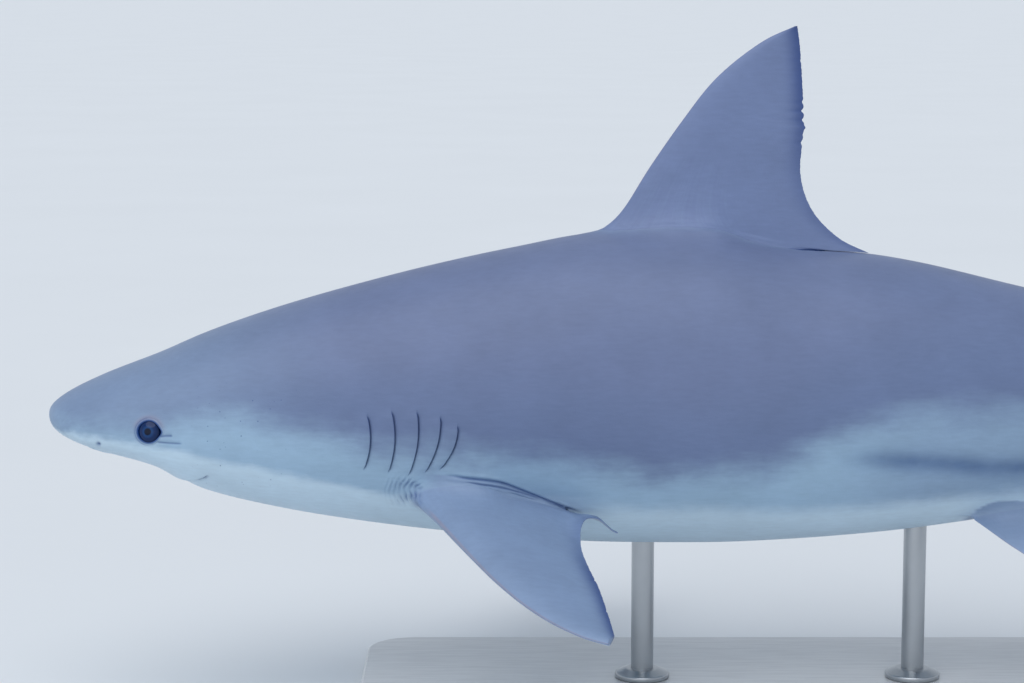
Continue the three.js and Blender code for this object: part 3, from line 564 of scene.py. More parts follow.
def give(mesh, name, values, kind="FLOAT", domain="POINT"):
    """Stores numbers on a mesh under a name."""
    attribute = mesh.attributes.get(name) or mesh.attributes.new(name, kind, domain)
    key = "vector" if kind == "FLOAT_VECTOR" else "value"
    attribute.data.foreach_set(key, np.ascontiguousarray(values).ravel())


def listed(items, key, kind=np.int32, width=1):
    """A number, or a row of numbers, of each of a mesh's items."""
    values = np.zeros(len(items) * width, kind)
    items.foreach_get(key, values)
    return values if width == 1 else values.reshape(-1, width)


def take(mesh, name, kind=np.float32):
    """Reads back single numbers stored on a mesh."""
    return listed(mesh.attributes[name].data, "value", kind)


def coordinates(mesh):
    return listed(mesh.vertices, "co", np.float32, 3).astype(float)


def edge_ends(mesh):
    return listed(mesh.edges, "vertices", width=2)


def move_to(mesh, points):
    """Puts the mesh's points somewhere else."""
    mesh.vertices.foreach_set("co", points.astype(np.float32).ravel())
    mesh.update()


def mirrored(points):
    """The points with the left side's laid over to the right."""
    return np.stack([points[:, 0], np.abs(points[:, 1]), points[:, 2]], axis=-1)


def gill_station(slit, up, percent):
    """Where a slit lies at a height: it leans, and bows rearwards at its middle."""
    (top, low), span = slit, slit[0][1] - slit[1][1]
    share = np.clip((top[1] - up / percent) / span, 0, 1)
    return (top[0] + (low[0] - top[0]) * share + GILL_BOW * np.sin(math.pi * share)) * percent


def ring_stations(body):
    """Stations of the body's rings, close together at the nose and round each gill slit."""
    start, end, spacing = RING_SPACING[0]
    nose = np.linspace(NOSE_FIRST, math.sqrt(start), NOSE_RINGS) ** 2
    parts = [nose, np.arange(start + spacing, end, spacing)]
    middles = [(top + low) / 2 for (top, _), (low, _) in GILLS]
    offsets = np.array(GILL_EDGES) * MM / body.percent
    for i, middle in enumerate(middles):
        before = GILL_WARP[0][0] if i == 0 else middles[i - 1]
        after = GILL_WARP[1][1] - 0.2 if i == len(middles) - 1 else middles[i + 1]
        ahead = middle - offsets[::-1]
        behind = middle + offsets[1:]
        parts.append(ahead[ahead > (before + middle) / 2 + RING_LEAST])
        parts.append(behind[behind < (after + middle) / 2 - RING_LEAST])
    for start, end, spacing in RING_SPACING[1:]:
        parts.append(np.arange(start, end - spacing / 2, spacing))
    parts.append([TAIL_TIP])
    stations = np.unique(np.round(np.concatenate(parts), 5))
    gaps = np.flatnonzero(np.diff(stations) > RING_MOST)
    extra = [np.linspace(stations[g], stations[g + 1], 4)[1:-1] for g in gaps]
    return np.sort(np.concatenate([stations, *extra])) * body.percent


def follow_gills(body, along, up):
    """Slides rings lengthwise so that they run exactly along the gill slits."""
    percent = body.percent
    middles = np.array([(top + low) / 2 for (top, _), (low, _) in GILLS]) * percent
    shifts = np.stack([gill_station(slit, up, percent) - m for slit, m in zip(GILLS, middles)])
    (start, _), (_, end) = GILL_WARP
    anchors = np.concatenate([[start * percent], middles, [end * percent]])
    shifts = np.concatenate([np.zeros((1, *up.shape)), shifts, np.zeros((1, *up.shape))])
    i = np.clip(np.searchsorted(anchors, along) - 1, 0, len(anchors) - 2)
    t = np.clip((along - anchors[i]) / (anchors[i + 1] - anchors[i]), 0, 1)
    rows = np.arange(up.shape[0])[:, None]
    columns = np.arange(up.shape[1])[None, :]
    low, high = shifts[i[:, None], rows, columns], shifts[i[:, None] + 1, rows, columns]
    return low + (high - low) * t[:, None]


def body_shell(body, around):
    """The bare body as a closed mesh."""
    stations = ring_stations(body)
    turn = np.arange(around) / around * 2 * math.pi
    along = np.repeat(stations[:, None], around, axis=1)
    along = along + follow_gills(body, stations, body.skin(along, turn[None, :])[..., 2])
    mesh = lofted("body", body.skin(along, turn[None, :]))
    facing_out(mesh)
    return mesh


def fin_shell(name, body, fin, place, shell):
    """A fin as a loft of chords from its leading to its trailing edge."""
    percent = body.percent
    t = np.linspace(0, 1, fin["rows"] + 1)
    front, rear = catmull(fin["leading"], t), catmull(fin["trailing"], t)
    chord = rear - front
    length = np.linalg.norm(chord, axis=1, keepdims=True)
    for at, depth in fin["nicks"]:
        rear = rear - chord / length * (depth * bell(t - at, NICK_WIDTH))[:, None]
    ruffle = RUFFLE * np.sin(t * 310) * np.sin(t * 127 + 1) * smooth(t * 8)
    rear = rear + chord / length * ruffle[:, None]
    lead_in = [(np.array(a), np.array(b)) for a, b in fin["root"]]
    last = np.array(lead_in[-1])
    first = np.array((front[0], rear[0]))
    lead_in += [last + (first - last) * share for share in np.arange(1, ROOT_ROWS) / ROOT_ROWS]
    front = np.concatenate([[a for a, _ in lead_in], front]) * percent
    rear = np.concatenate([[b for _, b in lead_in], rear]) * percent

    shares = (1 - np.cos(math.pi * np.arange(fin["chord"] + 1) / fin["chord"])) / 2
    share = np.concatenate([shares, shares[:0:-1]])
    side = np.concatenate([np.ones(len(shares)), -np.ones(len(shares) - 1)])
    out = np.maximum(0, (front[:, 1] + rear[:, 1]) / 2)[:, None]
    thick_root, thick_tip = (value * percent for value in fin["thickness"])
    thick = thick_root + (thick_tip - thick_root) * np.clip(out / (fin["span"] * percent), 0, 1)
    height = front[:, 1:] + (rear[:, 1:] - front[:, 1:]) * share
    along = front[:, :1] + (rear[:, :1] - front[:, :1]) * share
    if "thin" in fin:
        start, end, by, near, far = fin["thin"].values()
        rearward = smooth((along / percent - start) / (end - start))
        thick = thick * (1 - by * rearward * (1 - smooth((height / percent - near) / (far - near))))
    half = thick * aerofoil(share) + FIN_EDGE * smooth(share / FIN_NOSE) + 0 * height
    rings = place(along, height, side * half)
    mesh = lofted(name, rings)

    upper, lower = fin["tone"]
    lean = np.clip(0.5 + side * smooth(share / 0.08) / 2, 0, 1)
    pad = lambda values, end: np.concatenate([np.broadcast_to(values, rings.shape[:2]).ravel(), [end, end]])
    give(mesh, "tone", pad(lower + (upper - lower) * lean, upper))
    give(mesh, "out", pad(height, 0))
    give(mesh, "share", pad(share + 0 * height, 0))
    edge_distance = (1 - share) * np.linalg.norm(rear - front, axis=1)[:, None]
    give(mesh, "edge", pad(bell(edge_distance, EDGE_WIDTH * percent), 0))
    give(mesh, "shell", np.full(len(mesh.polygons), shell, np.int32), "INT", "FACE")
    facing_out(mesh)
    return mesh


def union(mesh, others):
    """Joins closed meshes into one closed mesh."""
    collection = bpy.context.scene.collection
    holder = bpy.data.objects.new("joined", mesh)
    collection.objects.link(holder)
    tools = []
    for other in others:
        tool = bpy.data.objects.new("joined part", other)
        collection.objects.link(tool)
        join = holder.modifiers.new("join", "BOOLEAN")
        join.operation, join.solver, join.object = "UNION", "MANIFOLD", tool
        tools.append(tool)
    bpy.context.view_layer.update()
    result = bpy.data.meshes.new_from_object(holder.evaluated_get(bpy.context.evaluated_depsgraph_get()))
    for thing in (holder, *tools):
        bpy.data.objects.remove(thing)
    if len(result.polygons) <= len(mesh.polygons):
        raise RuntimeError("the fins could not be joined to the body")
    return result


def tree_of(mesh):
    """The mesh, made ready for finding its nearest point."""
    return BVHTree.FromPolygons(coordinates(mesh).tolist(), [list(p.vertices) for p in mesh.polygons])


def nearest(tree, points, reach):
    """Distance from each point to a surface, less than 0 just inside it, and the direction out of it."""
    distance = np.full(len(points), reach)
    away = np.zeros((len(points), 3))
    for i, point in enumerate(points):
        found, normal, _, gap = tree.find_nearest(point, reach)
        if found is None:
            continue
        offset = Vector(point) - found
        if gap < TOUCHING:
            distance[i], away[i] = (gap if offset.dot(normal) >= 0 else -gap), normal
        else:
            distance[i], away[i] = gap, offset / gap
    return distance, away


def seam_points(mesh, pair):
    """Which points lie on the seam between two of the joined shells."""
    corner_edge = listed(mesh.loops, "edge_index")
    corner_shell = np.repeat(take(mesh, "shell", np.int32), listed(mesh.polygons, "loop_total"))
    low = np.full(len(mesh.edges), 99)
    high = np.full(len(mesh.edges), -1)
    np.minimum.at(low, corner_edge, corner_shell)
    np.maximum.at(high, corner_edge, corner_shell)
    return np.unique(edge_ends(mesh)[(low == min(pair)) & (high == max(pair))])


def distance_to(spots, points, reach):
    """Distance from each point to the nearest of the spots, up to a reach."""
    finder = KDTree(len(spots))
    for i, spot in enumerate(spots):
        finder.insert(spot, i)
    finder.balance()
    distance = np.full(len(points), reach)
    inside = (points > spots.min(axis=0) - reach) & (points < spots.max(axis=0) + reach)
    close = np.flatnonzero(inside.all(axis=1))
    distance[close] = [min(reach, finder.find(point)[2]) for point in points[close]]
    return distance


def merged_at_seams(mesh):
    """Merges crowded points along the seams, and splits the many-sided faces there."""
    work = bmesh.new()
    work.from_mesh(mesh)
    shell = work.faces.layers.int["shell"]
    seam = set()
    for edge in work.edges:
        if len(edge.link_faces) == 2 and edge.link_faces[0][shell] != edge.link_faces[1][shell]:
            seam.update(edge.verts)
    beside = {other for point in seam for edge in point.link_edges for other in edge.verts}
    in_order = sorted(beside, key=lambda point: point.index)
    bmesh.ops.remove_doubles(work, verts=in_order, dist=SEAM_MERGING)
    bmesh.ops.triangulate(work, faces=[face for face in work.faces if len(face.verts) > 4])
    work.to_mesh(mesh)
    work.free()


def fin_share(mesh):
    """1 on the fins and 0 on the body, eased over a few points at their seams."""
    corners, count = listed(mesh.loops, "vertex_index"), len(mesh.vertices)
    on_fin = np.repeat((take(mesh, "shell", np.int32) > 0).astype(float), listed(mesh.polygons, "loop_total"))
    share = np.bincount(corners, on_fin, count) / np.maximum(np.bincount(corners, minlength=count), 1)
    a, b = edge_ends(mesh).T
    links = np.bincount(a, minlength=count) + np.bincount(b, minlength=count)
    for _ in range(SEAM_EASING):
        around = np.bincount(a, share[b], count) + np.bincount(b, share[a], count)
        share = (share + around / np.maximum(links, 1)) / 2
    return share


def filleted(points, ends, seam, trees, radius, fade):
    """Lifts the skin along a seam into a fillet, which shrinks towards the seam's rear end."""
    reach = 1.15 * radius
    from_seam = distance_to(seam, points, reach)
    near = np.flatnonzero(from_seam < reach)
    from_seam = from_seam[near]
    moved = points[near].copy()
    front, rear = seam[:, 0].min(), seam[:, 0].max()
    size = radius * (0.3 + 0.7 * smooth((moved[:, 0] - front) / (1.2 * radius)))
    starts, stops, amount = fade
    size = size * (1 - amount * smooth(((moved[:, 0] - rear) / radius + starts) / (starts - stops)))
    size = np.maximum(size * (1 - smooth((from_seam / radius - 0.6) / 0.5)), 1e-5)

    place = np.full(len(points), -1)
    place[near] = np.arange(len(near))
    a, b = place[ends].T
    a, b = a[(a >= 0) & (b >= 0)], b[(a >= 0) & (b >= 0)]
    links = np.maximum(np.bincount(a, minlength=len(near)) + np.bincount(b, minlength=len(near)), 1)
    narrow = (0.5 * (1 - smooth((from_seam - SEAM_BAND[0]) / SEAM_BAND[1])))[:, None]

    def relax(rounds):
        for _ in range(rounds):
            around = np.stack([np.bincount(a, moved[b, i], len(near)) for i in range(3)], axis=-1)
            around += np.stack([np.bincount(b, moved[a, i], len(near)) for i in range(3)], axis=-1)
            moved[:] += narrow * (around / links[:, None] - moved)

    for turn in range(FILLET_ROUNDS):
        last = turn == FILLET_ROUNDS - 1
        relax(SEAM_RELAXING if last else 0)
        (d1, g1), (d2, g2) = (nearest(tree, moved, 2 * radius) for tree in trees)
        overlap = np.clip(1 - np.abs(d1 - d2) / size, 0, 1)
        value = np.minimum(d1, d2) - overlap**3 * size / 6
        first = np.where(d1 < d2, 1 - overlap**2 / 2, overlap**2 / 2)[:, None]
        slope = first * g1 + (1 - first) * g2
        steep = np.maximum((slope**2).sum(axis=1), 0.3)
        value = np.minimum(value, np.where(from_seam < SEAM_SUNK, np.inf, 0) if last else 0)
        moved -= (value * (overlap > 0) / steep)[:, None] * slope
    relax(SEAM_FINISHING)
    points[near] = moved


def refine(mesh, chosen):
    """Splits every edge between chosen points."""
    work = bmesh.new()
    work.from_mesh(mesh)
    work.edges.ensure_lookup_table()
    both = np.flatnonzero(chosen[edge_ends(mesh)].all(axis=1))
    bmesh.ops.subdivide_edges(work, edges=[work.edges[i] for i in both], cuts=1, use_grid_fill=True)
    bmesh.ops.triangulate(work, faces=[face for face in work.faces if len(face.verts) > 4])
    work.to_mesh(mesh)
    work.free()


def near_line(flank, line, percent):
    """Distance in millimetres, seen from the side, from a line given in per cent."""
    line = np.array(line) * percent / MM
    span = 40
    distance = np.full(len(flank), 1e3)
    close = ((flank > line.min(axis=0) - span) & (flank < line.max(axis=0) + span)).all(axis=1)
    place = np.zeros(len(flank))
    curve = catmull(line, np.linspace(0, 1, 6 * len(line)))
    distance[close], place[close] = line_distance(flank[close], curve)
    return distance, place


def gill_relief(body, q):
    """Each slit's front flap stands a little proud and drops into a groove that fades out behind; the groove
    gets painted shade.
    """
    percent = body.percent
    lift, shift, dark = (np.zeros(len(q)) for _ in range(3))
    start, end = GILL_WARP[0][0] * percent, GILL_WARP[1][1] * percent
    rows = (q[:, 0] > start) & (q[:, 0] < end) & (q[:, 1] > 0.55 * body.read("half", q[:, 0]))
    along, up = q[rows, 0], q[rows, 2]
    for slit in GILLS:
        top, low = slit[0][1] * percent, slit[1][1] * percent
        share = (top - up) / (top - low)
        strength = smooth((share + 0.03) / 0.14) * smooth((1.03 - share) / 0.12)
        offset = (along - gill_station(slit, up, percent)) / MM
        lift[rows] += strength * np.interp(offset, *GILL_SECTION.T)
        shift[rows] += strength * 1.3 * np.interp(offset, (-3.5, -0.2, 0.2, 0.6), (0, 1, 1, 0))
        # Painted shade in the slit's groove.
        dark[rows] += smooth(strength * 1.5) * np.interp(offset, *GILL_PAINTED_SHADE)
    return lift, shift, np.minimum(dark, 1)


def mouth_relief(body, q):
    """The closed mouth: a groove under the upper lip, with the lower jaw set in behind it and painted shade
    in the groove.
    """
    percent = body.percent
    rows = (q[:, 0] > 4 * percent) & (q[:, 0] < 12 * percent) & (q[:, 2] < -1.9 * percent)
    front, corner, half = (MOUTH[key] * percent for key in ("front", "corner", "half"))
    across = np.linspace(0, half, 60)
    line_along = front + (corner - front) * (across / half) ** 2
    line = np.stack([line_along, across, body.under_at(line_along, across)], axis=-1)
    distance, place = line_distance(q[rows], line)
    inside = q[rows, 0] > front + (corner - front) * (q[rows, 1] / half) ** 2
    offset = np.where(inside, distance, -distance) / MM
    strength = smooth((1 - place) / 0.10)
    lift, dark = np.zeros(len(q)), np.zeros(len(q))
    lift[rows] = strength * np.interp(offset, *MOUTH_SECTION.T)
    # Painted shade in the mouth's groove.
    dark[rows] = smooth((1 - place) / 0.12) * np.interp(offset, *MOUTH_PAINTED_SHADE)
    return lift, dark


def nostril_relief(body, q):
    """A slanting slot on the snout's underside, with a low flap over its inner half, and painted shade in the
    slot.
    """
    percent = body.percent
    along, across = NOSTRIL["along"] * percent, NOSTRIL["across"] * percent
    turn = math.radians(NOSTRIL["turn"])
    du = ((q[:, 1] - across) * math.sin(turn) - (q[:, 0] - along) * math.cos(turn)) / MM
    dv = ((q[:, 0] - along) * math.sin(turn) + (q[:, 1] - across) * math.cos(turn)) / MM
    below = q[:, 2] < body.read("widest", q[:, 0])
    length, width = (NOSTRIL[key] * percent / MM / 2 for key in ("length", "width"))
    oval = np.sqrt((du / length) ** 2 + (dv / width) ** 2)
    slot, rim = smooth(1.25 - oval) * below, bell(oval - 1.5, 0.45) * below
    flap = bell(du + 0.3 * length, 0.4 * length) * bell(dv + 1.6, 2.2) * below
    end = np.linalg.norm(q[:, [0, 2]] - np.array(NOSTRIL["end"]) * percent, axis=1) / MM
    pit = bell(end, 2.6) * (q[:, 1] > 0)
    # Painted shade in the slot and in the pit at its end.
    return -6.0 * slot + 0.8 * rim + 2.2 * flap - 2.5 * pit, np.maximum(slot, 0.85 * pit)


def eye_relief(body, q):
    """The eye's opening, with a thin raised lid all round and a crease along it, and painted shade in the
    socket and crease.
    """
    along, up = EYE["along"] * body.percent, EYE["up"] * body.percent
    facing = body.outward(along, up, 1)
    offset = q - (along, body.side_at(along, up), up)
    flat = offset - (offset @ facing)[:, None] * facing
    rearward = np.cross((0, 0, 1), facing) * -1
    rearward = rearward / np.linalg.norm(rearward) * np.sign(rearward[0])
    upward = np.cross(rearward, facing)
    upward = upward * np.sign(upward[2])
    a, b = flat @ rearward / MM, flat @ upward / MM
    rows = (np.hypot(a, b) < 60) & (q[:, 1] > 0)
    corner = bell(b, 5) * smooth(a / 12) * 2.6
    r = np.hypot(a, b * 1.07) - corner
    lift = np.interp(r, *EYE_SECTION.T) * rows
    # Painted shade in the socket, fading out over the lid, and in the crease round the lid, stronger at the
    # front.
    lid = np.interp(r, *LID_PAINTED_SHADE) * rows
    dark = np.maximum(np.interp(r, *EYE_PAINTED_SHADE) * rows, lid * (0.35 + 0.65 * smooth((4 - a) / 12)))
    blush = bell(r - 18, 3.5) * rows * (0.15 + 0.85 * smooth(b / 12))
    return lift, dark, blush


def fold_relief(body, q):
    """Single folds of the skin: behind the eye, over the pectoral fin's root and along the flank, with
    painted shade in each fold.
    """
    flank = q[:, [0, 2]] / MM
    outer = q[:, 1] > 0.4 * body.side_at(q[:, 0], q[:, 2])
    lift, dark = np.zeros(len(q)), np.zeros(len(q))
    for line, depth, width, painted_shade_strength in FOLDS:
        distance, place = near_line(flank, line, body.percent)
        ends = smooth(place / 0.2) * smooth((1 - place) / 0.15) * outer
        lift += depth * ends * (0.25 * bell(distance - 2.2 * width, 1.3 * width) - bell(distance, width))
        # Painted shade: dark in the fold, with a faint wide band of it round the fold.
        shade = np.maximum(bell(distance, 0.8 * width), 0.14 * bell(distance, 5 * width))
        dark = np.maximum(dark, painted_shade_strength * ends * shade)
    return lift, dark


def wrinkle_relief(body, q):
    """Fine creases that run in arcs in front of the pectoral fin's root, with painted shade over them,
    darkest in the troughs.
    """
    offset = q[:, [0, 2]] / body.percent - WRINKLES["centre"]
    away = np.hypot(*offset.T)
    spread = smooth((away - WRINKLES["from"]) / 0.3) * smooth((WRINKLES["to"] - away) / 1.6)
    front = smooth((-offset[:, 0] - 0.1) / 0.5) * smooth((1.15 - np.abs(offset[:, 1] - 0.15)) / 0.8)
    outer = q[:, 1] > 0.4 * body.side_at(q[:, 0], q[:, 2])
    bearing = np.arctan2(offset[:, 1], -offset[:, 0])
    wander = 1.0 * np.sin(bearing * 5 + away * 2.5) + 0.45 * np.sin(bearing * 13 - away * 4)
    wave = np.sin(2 * math.pi * away * body.percent / MM / WRINKLES["spacing"] + wander)
    strength = spread * front * outer * (0.65 + 0.35 * np.sin(bearing * 8 + away * 3))
    # Painted shade over the creased patch, darkest in the troughs.
    return strength * WRINKLES["depth"] * wave, strength * (0.22 + 0.40 * smooth(-wave * 0.8 + 0.1))


def tail_pits(body, q):
    """The notches above and below the tail's root."""
    at = q[:, 0] / body.percent
    middle = np.abs(q[:, 1]) < 0.8 * body.read("half", q[:, 0])
    above = q[:, 2] > body.read("widest", q[:, 0])
    near = q[:, 2] > body.read("back", q[:, 0]) - 0.5 * body.percent
    low = q[:, 2] < body.read("belly", q[:, 0]) + 0.5 * body.percent
    top = bell(at - 74.35, 0.32) * (above & near & middle)
    bottom = bell(at - 73.2, 0.30) * (~above & low & middle)
    return -5.0 * top - 3.0 * bottom


def shoulder(body, q):
    """Where the grey of a paired fin climbs past its root, up to a line over it."""
    at, up = q[:, 0] / body.percent, q[:, 2] / body.percent
    share = np.zeros(len(q))
    for line, start, end, deep, ease in SHOULDERS:
        edge = np.interp(at, *np.array(line).T)
        within = smooth((edge - up) / 0.12 + 0.5) * smooth((up - edge + deep) / 0.5)
        share = np.maximum(share, within * smooth((at - start) / ease) * smooth((end - at) / 0.8))
    return share * (q[:, 1] > 0.5 * body.side_at(q[:, 0], q[:, 2]))


def markings(body, points):
    """How far each point lies above the grey's edge and above the white's edge, and the dark flank band."""
    at, up = points[:, 0] / body.percent, points[:, 2] / body.percent
    grey, white, middle = (monotone(*np.array(line).T, at) for line in (GREY_EDGE, WHITE_EDGE, FLANK_BAND))
    band = bell(up - middle, 0.55) * smooth((at - 40.5) / 5) * smooth((66 - at) / 10)
    return np.stack([up - grey, up - white, band], axis=-1)


def make_skin_mesh(sizes):
    """The straight body with all its fins joined to it and filleted."""
    body = Body(sizes.total_length)
    base = body_shell(body, sizes.points_around)
    for name in ("tone", "out", "edge", "share"):
        give(base, name, np.zeros(len(base.vertices)))
    give(base, "shell", np.zeros(len(base.polygons), np.int32), "INT", "FACE")
    plan = [
        ("first dorsal fin", FIRST_DORSAL, body.on_back),
        ("second dorsal fin", SECOND_DORSAL, body.on_back),
        ("anal fin", ANAL, body.on_belly),
        ("tail web", CAUDAL_WEB, body.in_plane),
        ("lower tail lobe", CAUDAL_LOWER, body.in_plane),
    ]
    for name, side in SIDES:
        plan.append((f"{name} pectoral fin", PECTORAL, body.paired(PECTORAL["seat"], side)))
        plan.append((f"{name} pelvic fin", PELVIC, body.paired(PELVIC["seat"], side)))
    shells = [fin_shell(name, body, fin, place, i) for i, (name, fin, place) in enumerate(plan, start=1)]
    trees = [tree_of(shell) for shell in (base, *shells)]
    mesh = union(base, shells)
    merged_at_seams(mesh)
    points = coordinates(mesh)
    give(mesh, "fin", fin_share(mesh))
    pairs = [(0, number, fin) for number, (_, fin, _) in enumerate(plan, start=1)]
    web = [name for name, _, _ in plan].index("tail web") + 1
    pairs.append((web, web + 1, CAUDAL_LOWER))
    seams = [seam_points(mesh, (a, b)) for a, b, _ in pairs]
    starts = [points[seam] for seam in seams]
    ends = edge_ends(mesh)
    for (a, b, fin), start in zip(pairs, starts):
        filleted(points, ends, start, (trees[a], trees[b]), fin["fillet"] * MM, fin.get("fade", FILLET_FADE))
    slit = np.zeros(len(points))
    for (_, _, fin), seam in zip(pairs, seams):
        if "slit" in fin:
            start, end, width = fin["slit"]
            spots = points[seam]
            spots = spots[spots[:, 0] > start * body.percent]
            at = points[:, 0] / body.percent
            width = width * (1 + SLIT_WIDENING * smooth((at - end + 2) / 1.5))
            near = bell(distance_to(spots, points, SLIT_REACH) / MM, width)
            slit = np.maximum(slit, near * smooth((at - start) / 0.8) * smooth((end - at) / 0.3))
    give(mesh, "slit", slit)
    move_to(mesh, points)
    return body, mesh


def details(body, mesh):
    """Refines the head and the fin roots, carves the openings and folds there, and paints shade into them."""
    percent = body.percent
    eye = np.array([EYE["along"], 0, EYE["up"]]) * percent
    eye[1] = body.side_at(eye[0], eye[2])
    nostril = np.array([NOSTRIL["along"], NOSTRIL["across"], 0]) * percent
    nostril[2] = body.under_at(nostril[0], nostril[1])
    for turn in (0, 1):
        q = mirrored(coordinates(mesh))
        chosen = take(mesh, "slit") > 0.01
        for name, centre in (("eye", eye), ("nostril", nostril)):
            chosen |= np.linalg.norm(q - centre, axis=1) < REFINED[name][turn] * MM
        outer = q[:, 1] > 0.5 * body.side_at(q[:, 0], q[:, 2])
        for line, _, width, _ in FOLDS:
            if width < WIDE_FOLD:
                distance, _ = near_line(q[:, [0, 2]] / MM, line, percent)
                chosen |= (distance < REFINED["fold"][turn] * width) & outer
        if turn == 0:
            chosen |= mouth_relief(body, q)[1] > 0
            chosen |= gill_relief(body, q)[2] > 0.05
            chosen |= np.abs(wrinkle_relief(body, q)[0]) > 0.02
        refine(mesh, chosen)

    points = coordinates(mesh)
    normals = listed(mesh.vertex_normals, "vector", np.float32, 3)
    q = mirrored(points)
    gill, shift, gill_painted_shade = gill_relief(body, q)
    mouth, mouth_painted_shade = mouth_relief(body, q)
    nostril, nostril_painted_shade = nostril_relief(body, q)
    eye, eye_painted_shade, blush = eye_relief(body, q)
    fold, fold_painted_shade = fold_relief(body, q)
    wrinkle, wrinkle_painted_shade = wrinkle_relief(body, q)
    lift = gill + mouth + nostril + eye + fold + wrinkle + tail_pits(body, q)
    slit = take(mesh, "slit")
    # Painted shade from every groove and opening, and in the slit under a fin's free rear tip.
    painted_shades = (gill_painted_shade, mouth_painted_shade, nostril_painted_shade, eye_painted_shade, fold_painted_shade, wrinkle_painted_shade, 0.92 * slit)
    moved = points + normals * ((lift - 1.6 * slit) * MM)[:, None]
    moved[:, 0] += shift * MM
    give(mesh, "fin", np.maximum(take(mesh, "fin"), 0.85 * shoulder(body, q)))
    give(mesh, "laid", points, "FLOAT_VECTOR")
    give(mesh, "levels", markings(body, points), "FLOAT_VECTOR")
    give(mesh, "dark", np.max(painted_shades, axis=0))
    give(mesh, "blush", blush)
    return moved


# ---------------------------------------------------------------- materials


def connect(tree, socket, value):
    """Feeds a socket from another one, or sets its value."""
    if isinstance(value, bpy.types.NodeSocket):
        tree.links.new(value, socket)
    else:
        socket.default_value = value


def add(tree, kind, settings=None, **inputs):
    """Adds a node. Each input is a value or the socket that feeds it."""
    made = tree.nodes.new(kind)
    for name, value in (settings or {}).items():
        setattr(made, name, value)
    for name, value in inputs.items():
        key = int(name[1:]) if name[1:].isdigit() else name.replace("_", " ")
        connect(tree, made.inputs[key], value)
    return made


def calc(tree, operation, *values):
    """A number from one, two or three others."""
    inputs = {f"i{i}": value for i, value in enumerate(values)}
    return add(tree, "ShaderNodeMath", {"operation": operation}, **inputs).outputs[0]


def times(tree, product, *values):
    """Numbers multiplied with each other."""
    for value in values:
        product = calc(tree, "MULTIPLY", product, value)
    return product


def blend(tree, amount, low, high):
    """A colour between two others."""
    made = add(tree, "ShaderNodeMix", {"data_type": "RGBA"}, i0=amount)
    for socket, colour in ((made.inputs[6], low), (made.inputs[7], high)):
        connect(tree, socket, colour if isinstance(colour, bpy.types.NodeSocket) else rgba(colour))
    return made.outputs[2]


def ramp(tree, value, low, high, start=0.0, end=1.0):
    """Eases from start to end as the value goes from low to high."""
    return add(
        tree, "ShaderNodeMapRange", {"interpolation_type": "SMOOTHSTEP"},
        Value=value, From_Min=low, From_Max=high, To_Min=start, To_Max=end,
    ).outputs[0]


def noise(tree, vector, scale, detail=2.0, roughness=0.5):
    made = add(tree, "ShaderNodeTexNoise", Vector=vector, Scale=scale, Detail=detail, Roughness=roughness)
    return made.outputs["Fac"]


def stored(tree, name, output="Fac"):
    """Numbers that the mesh carries under a name."""
    return add(tree, "ShaderNodeAttribute", {"attribute_name": name}).outputs[output]


def split(tree, vector):
    return add(tree, "ShaderNodeSeparateXYZ", Vector=vector).outputs


def flat_place(tree, x, y):
    return add(tree, "ShaderNodeCombineXYZ", X=x, Y=y).outputs[0]


def stretched(tree, vector, *scale):
    return add(tree, "ShaderNodeMapping", Vector=vector, Scale=scale).outputs[0]


def object_place(tree):
    return add(tree, "ShaderNodeTexCoord").outputs["Object"]


def rgba(colour):
    return (*tuple(colour)[:3], 1.0)


def srgb(*channels):
    """A colour given as 0 to 255, as linear light."""
    shares = [channel / 255 for channel in channels]
    return tuple(c / 12.92 if c <= 0.04045 else ((c + 0.055) / 1.055) ** 2.4 for c in shares)


def group_of(name, inputs, output, fill):
    """A node group, made once. fill builds it from its inputs, and returns what feeds its one output."""
    if name not in bpy.data.node_groups:
        group = bpy.data.node_groups.new(name, "ShaderNodeTree")
        for label, kind, value in inputs:
            socket = group.interface.new_socket(name=label, in_out="INPUT", socket_type=kind)
            if value is not None:
                socket.default_value = value
        group.interface.new_socket(name=output[0], in_out="OUTPUT", socket_type=output[1])
        made = fill(group, group.nodes.new("NodeGroupInput").outputs)
        group.links.new(made, group.nodes.new("NodeGroupOutput").inputs[0])
    return bpy.data.node_groups[name]


def uneven_tone():
    """Group: lightens and darkens a colour in soft patches."""

    def fill(group, given):
        patches = noise(group, given["Position"], given["Patch Scale"], 4.0, 0.55)
        spread = times(group, calc(group, "SUBTRACT", patches, 0.5), given["Amount"], 4.0)
        made = add(group, "ShaderNodeVectorMath", {"operation": "SCALE"}, i0=given["Colour"],
                   Scale=calc(group, "ADD", spread, 1.0))
        return made.outputs[0]

    inputs = (
        ("Colour", "NodeSocketColor", None), ("Position", "NodeSocketVector", None),
        ("Patch Scale", "NodeSocketFloat", 8.0), ("Amount", "NodeSocketFloat", 0.1),
    )
    return group_of("Uneven tone", inputs, ("Colour", "NodeSocketColor"), fill)


